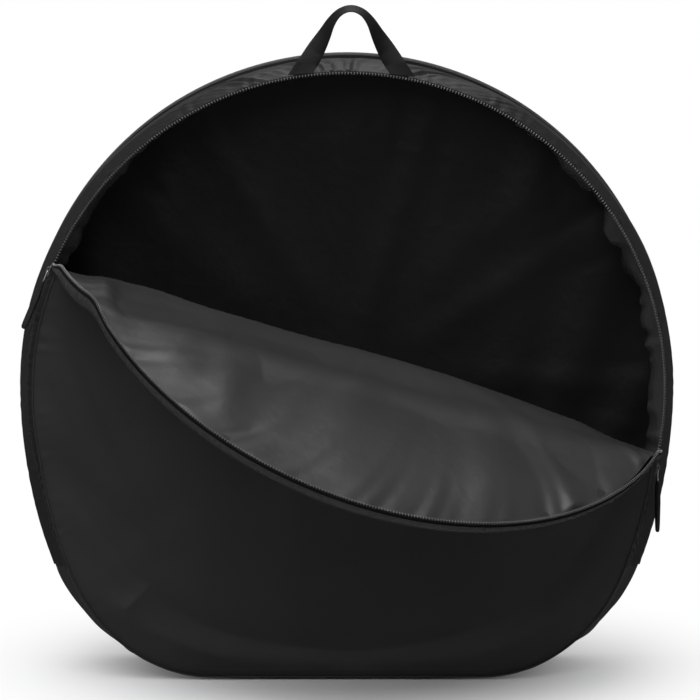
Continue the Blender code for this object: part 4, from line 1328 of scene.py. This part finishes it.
def rounded(bm, edges, width, segments):
    """Rounds these edges of a bmesh."""
    bmesh.ops.bevel(
        bm, geom=edges, offset=width, segments=segments, profile=0.5, affect="EDGES", clamp_overlap=True
    )


def rounded_solid(bm, outline, low, high, edge):
    """A plate with this outline (z, y) between two heights x, its edges rounded."""
    lower, upper = ([bm.verts.new((x, y, z)) for z, y in outline] for x in (low, high))
    faces = [bm.faces.new(lower), bm.faces.new(list(reversed(upper)))]
    count = len(outline)
    for k in range(count):
        after = (k + 1) % count
        faces.append(bm.faces.new((lower[k], upper[k], upper[after], lower[after])))
    bmesh.ops.recalc_face_normals(bm, faces=faces)
    rims = [e for e in bm.edges if e.is_valid and set(e.link_faces) & set(faces[:2])]
    rounded(bm, rims, edge, 3)


def bridge_arc(half_long, rise, roundness):
    """An arch over the upper plate, as points (z, x)."""
    foot = PLATE_TOP - OVERLAP
    return [
        (-half_long * math.cos(t), foot + rise * math.sin(t) ** roundness) for t in np.linspace(0, math.pi, 17)
    ]


def add_bridge(bm):
    """The arched bridge on a slider's upper plate, with its edges rounded."""
    arcs = (
        bridge_arc(BRIDGE_HALF_LONG, BRIDGE_HIGH + OVERLAP, 0.45),
        bridge_arc(BRIDGE_HALF_LONG - BRIDGE_LEG, BRIDGE_HIGH - BRIDGE_THICK, 0.5),
    )
    loops = []
    for y in (-BRIDGE_WIDE / 2, BRIDGE_WIDE / 2):
        loops += [[bm.verts.new((x, y, z)) for z, x in arc] for arc in arcs]
    faces = []
    for k in range(len(arcs[0]) - 1):
        for first, second in ((0, 1), (1, 3), (3, 2), (2, 0)):
            a, b = loops[first], loops[second]
            faces.append(bm.faces.new((a[k], a[k + 1], b[k + 1], b[k])))
    for k in (0, -1):
        faces.append(bm.faces.new([loops[number][k] for number in (0, 1, 3, 2)]))
    bmesh.ops.recalc_face_normals(bm, faces=faces)
    own = [e for e in bm.edges if set(e.link_faces) <= set(faces) and len(e.link_faces) == 2]
    rounded(bm, [e for e in own if e.calc_face_angle(0) > 1], BRIDGE_EDGE, 2)


for side, polar, slider_name in ((-1, ZIP_LEFT_END, "slider_left"), (1, ZIP_RIGHT_END, "slider_right")):
    bm = bmesh.new()
    whole = [(side * z, y) for z, y in SLIDER_OUTLINE] + [(side * z, -y) for z, y in reversed(SLIDER_OUTLINE)]
    for out in (1, -1):
        rounded_solid(bm, whole, *sorted((out * PLATE_GAP, out * PLATE_TOP)), PLATE_EDGE)
        for flank in (1, -1):
            lip = [(side * z, flank * y) for z, y in LIP_OUTLINE]
            lip += [(side * z, flank * (y - LIP_THICK)) for z, y in reversed(LIP_OUTLINE)]
            rounded_solid(bm, lip, *sorted((out * LIP_GAP, out * (PLATE_GAP + OVERLAP))), LIP_EDGE)
    post_reach = PLATE_GAP + POST_INTO_PLATE
    rounded_solid(bm, [(side * z, y) for z, y in POST_OUTLINE], -post_reach, post_reach, POST_EDGE)
    add_bridge(bm)
    bmesh.ops.transform(bm, matrix=slider_frame(polar), verts=bm.verts)
    bmesh.ops.recalc_face_normals(bm, faces=bm.faces)
    mesh = bpy.data.meshes.new(slider_name + "_body")
    bm.to_mesh(mesh)
    bm.free()
    mesh.materials.append(SLIDER_METAL)
    mesh.shade_smooth()
    mesh.set_sharp_from_angle(angle=math.radians(35))
    slider = shown_object(slider_name + "_body", mesh)
    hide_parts(slider_name)
    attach(slider, slider_name)


# Zip pulls
# A bent wire ring hangs in each bridge, and a long soft pull is moulded round its lower side: matt black, thicker
# in the middle, with a shallow ribbed grip near its end. The right one hangs plumb and turns back its face.

WIRE = 0.0007
RING_HALF = 0.0040
RING_LENGTH = 0.0135
RING_CORNER = 0.0030
RING_SIDES = 10
PULL_FROM = 0.0112
PULL_LENGTH = 0.074
PULL_HALF = 0.0036
PULL_THIN = 0.0015
PULL_SWELL = 0.0009
PULL_TWIST = 68.0
GRIP_FROM, GRIP_TO = 0.60, 0.90
RIB_PITCH = 0.0026
RIB_DEEP = 0.00035
EYE_OUT = PLATE_TOP + OVERLAP + WIRE
LEFT_PULL_REST = 1.0
RIGHT_PULL_REST = -ZIP_RIGHT_END
# The ring's light grey metal and its pale edges are a painted highlight; the real wire is dark, and bright only where
# it catches a lamp.
RING_METAL_PAINTED_LIGHT = grained("ring_metal_painted_highlight", (0.34, 0.34, 0.35), 0.5, 0.25, 900, 0.00003, worn=(0.7, 0.7, 0.7))
PULL_SOFT = grained("pull_soft", (0.011, 0.011, 0.0115), 0.0, 0.55, 1500, 0.00012, gloss=0.3)
PULL_SHARES = np.array(
    (
        (0, 0.5, 0.0),
        (0.02, 0.66, 0.1),
        (0.06, 0.76, 0.3),
        (0.15, 0.9, 0.55),
        (0.45, 1.0, 1.0),
        (0.85, 0.98, 0.85),
        (0.95, 0.9, 0.6),
        (0.985, 0.72, 0.35),
        (1.0, 0.4, 0.1),
    )
)


def squared(wave, power):
    """A sine or cosine pressed towards a square, for a section with rounded corners."""
    return np.sign(wave) * np.abs(wave) ** power


def grip_mesh(name, side, turn_back, eased_over):
    """A pull, straight along z from its ring: flat at the eye and twisted to face its own way below it."""
    share = np.concatenate([np.linspace(0, 0.08, 9)[:-1], np.linspace(0.08, 0.92, 90)[:-1], np.linspace(0.92, 1, 12)])
    along = PULL_FROM + (PULL_LENGTH - PULL_FROM) * share
    wide = PULL_HALF * np.interp(share, PULL_SHARES[:, 0], PULL_SHARES[:, 1])
    thick = PULL_THIN + PULL_SWELL * np.interp(share, PULL_SHARES[:, 0], PULL_SHARES[:, 2])
    thick = thick * (1 - 0.5 * np.clip((share - 0.97) / 0.03, 0, 1) ** 2)
    gripped = np.clip((share - GRIP_FROM) / 0.01, 0, 1) * np.clip((GRIP_TO - share) / 0.01, 0, 1)
    ribs = gripped * np.maximum(np.sin(2 * math.pi * along / RIB_PITCH), 0) ** 0.5 * RIB_DEEP
    around = np.linspace(0, 2 * math.pi, 28, endpoint=False)
    flat = squared(np.cos(around), 0.6)
    on_face = np.clip(1 - np.abs(flat) / 0.8, 0, 1) ** 0.3
    x = squared(np.sin(around), 0.6)[None] * (thick[:, None] - ribs[:, None] * on_face[None])
    y = flat[None] * wide[:, None]
    facing = PULL_TWIST * smooth_share(np.clip((along - PULL_FROM) / eased_over, 0, 1)[:, None])
    if turn_back:
        facing = facing * (0.85 - 0.55 * np.clip((along - 0.02) / 0.05, 0, 1)[:, None])
    twist = side * np.radians(facing)
    x, y = x * np.cos(twist) - y * np.sin(twist), x * np.sin(twist) + y * np.cos(twist)
    z = np.repeat(-side * along[:, None], len(around), 1)
    mesh = bpy.data.meshes.new(name)
    points = np.stack([x, y, z], -1).reshape(-1, 3)
    mesh.from_pydata(points.tolist(), [], tube_faces(np.arange(x.size).reshape(x.shape), False))
    return mesh


for side, polar, rest, turn_back, eased_over, pull_name in (
    (-1, ZIP_LEFT_END, LEFT_PULL_REST, False, 0.020, "left"),
    (1, ZIP_RIGHT_END, RIGHT_PULL_REST, True, 0.010, "right"),
):
    swing = Matrix.Translation((EYE_OUT, 0, 0)) @ Matrix.Rotation(math.radians(-side * rest), 4, "Y")
    hang = slider_frame(polar) @ swing
    turns = np.linspace(0, math.pi / 2, 6)
    corner = np.stack([np.cos(turns), np.sin(turns)], -1) * RING_CORNER
    quarter = corner + (RING_HALF - RING_CORNER, RING_LENGTH / 2 - RING_CORNER)
    loop = np.vstack([quarter, quarter[::-1] * (-1, 1), quarter * (-1, -1), quarter[::-1] * (1, -1)])
    line = np.stack([0 * loop[:, 0], loop[:, 0], -side * (loop[:, 1] + RING_LENGTH / 2)], -1)
    outs = np.tile((1.0, 0.0, 0.0), (len(loop), 1))
    ring_run = np.arange(len(loop)) * 0.001
    ring = cord_mesh("pull_%s_ring" % pull_name, line, outs, WIRE, RING_SIDES, ring_run, True, RING_METAL_PAINTED_LIGHT)
    ring.data.transform(hang)
    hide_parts("pull_ring_" + pull_name)
    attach(ring, "pull_" + pull_name)

    mesh = grip_mesh("pull_%s_grip" % pull_name, side, turn_back, eased_over)
    mesh.transform(hang)
    mesh.materials.append(PULL_SOFT)
    pull = crisp(shown_object("pull_%s_grip" % pull_name, mesh), 50)
    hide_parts("pull_" + pull_name)
    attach(pull, "pull_" + pull_name)


# Handle
# One loop of ribbed polypropylene webbing. It faces the front at its feet and turns edge-on over the top. Each foot
# is a folded end of the webbing, sewn flat on the gusset with a box of stitches, so the loop leans from just above
# its feet.

HANDLE_X = 0.005
HANDLE_Y = -0.044
HANDLE_TURN = 76.0
WEBBING_WIDE = 0.0225
WEBBING = 0.0016
WEBBING_SIDES = 36
CUPPED = 0.0006
FLAT_AT_FOOT_SHARE = 0.14
HANDLE_RINGS = 181
END_RINGS = 26
FOOT_FORWARD = 0.0042
ABOVE_FOOT = 0.0004
FOOT_LONG = 0.025
FOOT_X = 0.0565
FOOT_OUT = 0.0021
FOOT_UNDER = 0.0001
FOOT_LAP = 0.0012
FOOT_SOFT = 0.0007
ROWS_ACROSS, ROWS_ALONG = 27, 25
BOX_HALF, BOX_FROM, BOX_TO = 0.0105, 0.0035, 0.0225
WEBBING_CLOTH = cloth_material(
    "webbing_cloth", (0.0045, 0.0045, 0.0048), 0.45, 0.18, 0.01, 0.0002, thread=0.0013, relief=0.0004, mottle=0.12
)
HANDLE_HALF = np.array(
    (
        (0.0562, 0.7070),
        (0.0508, 0.7150),
        (0.0452, 0.7235),
        (0.0374, 0.7365),
        (0.0303, 0.7490),
        (0.0232, 0.7625),
        (0.0156, 0.7722),
        (0.0075, 0.7773),
        (0.0, 0.7788),
    )
)


def smooth_line(points, count):
    """Evenly spaced points on a smooth curve through the given ones, and how far along it each lies."""
    padded = np.vstack([2 * points[0] - points[1], points, 2 * points[-1] - points[-2]])
    t = np.linspace(0, 1, 24, endpoint=False)[:, None]
    fine = []
    for p0, p1, p2, p3 in zip(padded, padded[1:], padded[2:], padded[3:]):
        bend, turn = 2 * p0 - 5 * p1 + 4 * p2 - p3, 3 * p1 - p0 - 3 * p2 + p3
        fine.append(0.5 * (2 * p1 + (p2 - p0) * t + bend * t**2 + turn * t**3))
    fine = np.vstack([*fine, points[-1:]])
    length = np.concatenate([[0], np.cumsum(np.linalg.norm(np.diff(fine, axis=0), axis=1))])
    even = np.linspace(0, length[-1], count)
    return np.stack([np.interp(even, length, fine[:, k]) for k in range(fine.shape[1])], -1), even


route, along = smooth_line(np.vstack([HANDLE_HALF * (-1, 1), HANDLE_HALF[-2::-1]]), HANDLE_RINGS)
forward = np.gradient(route, axis=0)
forward /= np.linalg.norm(forward, axis=1)[:, None]
up_share = 1 - np.abs(2 * along / along[-1] - 1)
turned_share = np.clip((up_share - FLAT_AT_FOOT_SHARE) / (1 - FLAT_AT_FOOT_SHARE), 0, 1)
twist = math.radians(HANDLE_TURN) * np.sin(turned_share * math.pi / 2)
across = np.stack([-forward[:, 1] * np.cos(twist), np.sin(twist), forward[:, 0] * np.cos(twist)], -1)
through = np.cross(np.stack([forward[:, 0], 0 * twist, forward[:, 1]], -1), across)
profile = np.linspace(0, 2 * math.pi, WEBBING_SIDES, endpoint=False)
flat_a = squared(np.cos(profile), 0.35)
flat_b = squared(np.sin(profile), 0.55)
cup = CUPPED * (flat_a**2 - 0.4)
middle = np.stack([HANDLE_X + route[:, 0], HANDLE_Y + 0 * twist, route[:, 1]], -1)
rings = (
    middle[:, None]
    + across[:, None] * WEBBING_WIDE / 2 * flat_a[None, :, None]
    + through[:, None] * (WEBBING / 2 * flat_b + cup)[None, :, None]
)
foot_level = CENTRE_Z + np.sqrt(ZIP_RADIUS**2 - rings[:, :, 0] ** 2) + ABOVE_FOOT
for end, step in ((0, 1), (-1, -1)):
    numbers = end + step * np.arange(END_RINGS)
    slope = step * forward[end]
    reach = (foot_level[end] - rings[end][:, 2]) / slope[1]
    fade = (1 - np.arange(END_RINGS) / END_RINGS)[:, None]
    rings[numbers, :, 0] += fade * reach * slope[0]
    rings[numbers, :, 2] += fade * reach * slope[1]
    rings[numbers, :, 1] -= fade * FOOT_FORWARD
faces = tube_faces(np.arange(HANDLE_RINGS * WEBBING_SIDES).reshape(HANDLE_RINGS, -1), False)
uv = np.stack([np.repeat(along, WEBBING_SIDES), np.tile(flat_a * WEBBING_WIDE / 2, HANDLE_RINGS)], -1)
handle = crisp(skin("handle_webbing", rings.reshape(-1, 3), faces, uv, WEBBING_CLOTH), 60)
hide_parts("handle")
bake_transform(handle)

foot_lines = []
for foot_name, side in (("handle_foot_left", -1), ("handle_foot_right", 1)):
    middle_run = float(run_at(math.degrees(math.acos((HANDLE_X + side * FOOT_X) / TOP_RADIUS))))
    runs = middle_run + np.linspace(-0.5, 0.5, ROWS_ACROSS) * WEBBING_WIDE
    depths = HANDLE_Y - FOOT_LAP + np.linspace(0, 1, ROWS_ALONG) * (FOOT_LONG + FOOT_LAP)
    level = gusset_face(runs, depths)
    rim_a, rim_b = (
        np.clip((np.abs(np.linspace(-1, 1, count)) - 0.9) / 0.1, 0, 1) ** 2 for count in (ROWS_ACROSS, ROWS_ALONG)
    )
    soft_edge = FOOT_SOFT * (rim_a[:, None] + rim_b[None])
    foot = crisp(
        band_shell(
            foot_name + "_webbing", runs, depths, level - FOOT_OUT + soft_edge, level - FOOT_UNDER, WEBBING_CLOTH
        ),
        60,
    )
    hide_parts(foot_name)
    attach(foot, "bag")
    low_left, low_right = (-BOX_HALF, BOX_FROM), (BOX_HALF, BOX_FROM)
    high_right, high_left = (BOX_HALF, BOX_TO), (-BOX_HALF, BOX_TO)
    box = np.array((low_left, low_right, high_right, high_left, low_left, high_right))
    for a, b in zip(box, box[1:]):
        spots = a + (b - a) * np.linspace(0, 1, 20)[:, None]
        runs, y = middle_run + spots[:, 0], HANDLE_Y + spots[:, 1]
        inset = np.array([gusset_face(runs[k : k + 1], y[k : k + 1])[0, 0] for k in range(len(spots))])
        x, z = edge_at(runs, inset - FOOT_OUT)
        foot_lines.append((np.stack([x, y, z], -1), outward_at(runs)))


# Stitching
# Lockstitches in black bonded thread: along the gusset's front edge and the front strip's back edge, through the
# zip's tapes, down both cross seams, and round the handle's feet.

STITCH_SIZES = {"Pitch": 0.0034, "Long": 0.0026, "Thick": 0.0007}
SEWN_FROM_EDGE = 0.0022
STRIP_SEWN_FROM_EDGE = 0.0020
STRIP_SEWN_OUT = 0.0009
CROSS_SEWN_OUT = 0.0002
SEWN_END_GAP = 0.002
CROSS_END_GAP = 0.003
THREAD = grained("thread", (0.02, 0.02, 0.021), 0.0, 0.5, 1200, 0.00008, gloss=0.35)


def stitch(tree, given):
    """One stitch: a short grain of thread along the path, half sunk in the cloth."""
    grain = node(tree, "GeometryNodeMeshUVSphere", {"Segments": 6, "Rings": 4, "Radius": 0.5})
    span = node(tree, "ShaderNodeCombineXYZ", {"X": given["Thick"], "Y": given["Thick"], "Z": given["Long"]})
    shape = node(tree, "GeometryNodeTransform", {"Geometry": grain.outputs["Mesh"], "Scale": span.outputs[0]})
    return smooth_unit(tree, shape.outputs["Geometry"])


STITCH_TREE = along_path_tree("stitches", STITCH_SIZES, stitch, THREAD, 0.08)
runs = np.linspace(TOP_START + SEWN_END_GAP, TOP_END - SEWN_END_GAP, 1500)
sewn_y = BAND_FRONT_Y + SEWN_FROM_EDGE
x, z = edge_at(runs, gusset_face(runs, np.array([sewn_y]))[:, 0])
bag_lines = [*foot_lines, (np.stack([x, sewn_y + 0 * x, z], -1), outward_at(runs))]
for cross_run in (TOP_START, TOP_END):
    for away in (-SEWN_FROM_EDGE, SEWN_FROM_EDGE):
        y = np.linspace(FRONT_Y + CROSS_END_GAP, BACK_Y - CROSS_END_GAP, 60)
        seam_runs = np.full_like(y, cross_run + away)
        x, z = edge_at(seam_runs, gusset_inset(facing_at(seam_runs), y) - CROSS_SEWN_OUT)
        bag_lines.append((np.stack([x, y, z], -1), outward_at(seam_runs)))
bag_stitches = repeated("bag_stitches", STITCH_TREE, bag_lines, STITCH_SIZES)
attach(bag_stitches, "bag")

strip_line = ring_line(runs, STRIP_BACK_Y - STRIP_SEWN_FROM_EDGE, -STRIP_SEWN_OUT)
low_lines, high_lines = split_at_parting(*strip_line)
for stitch_name, lines, high in (("front_stitches", low_lines, False), ("flap_stitches", high_lines, True)):
    sewn = repeated(stitch_name, STITCH_TREE, lines, STITCH_SIZES)
    lay_open(sewn, high)
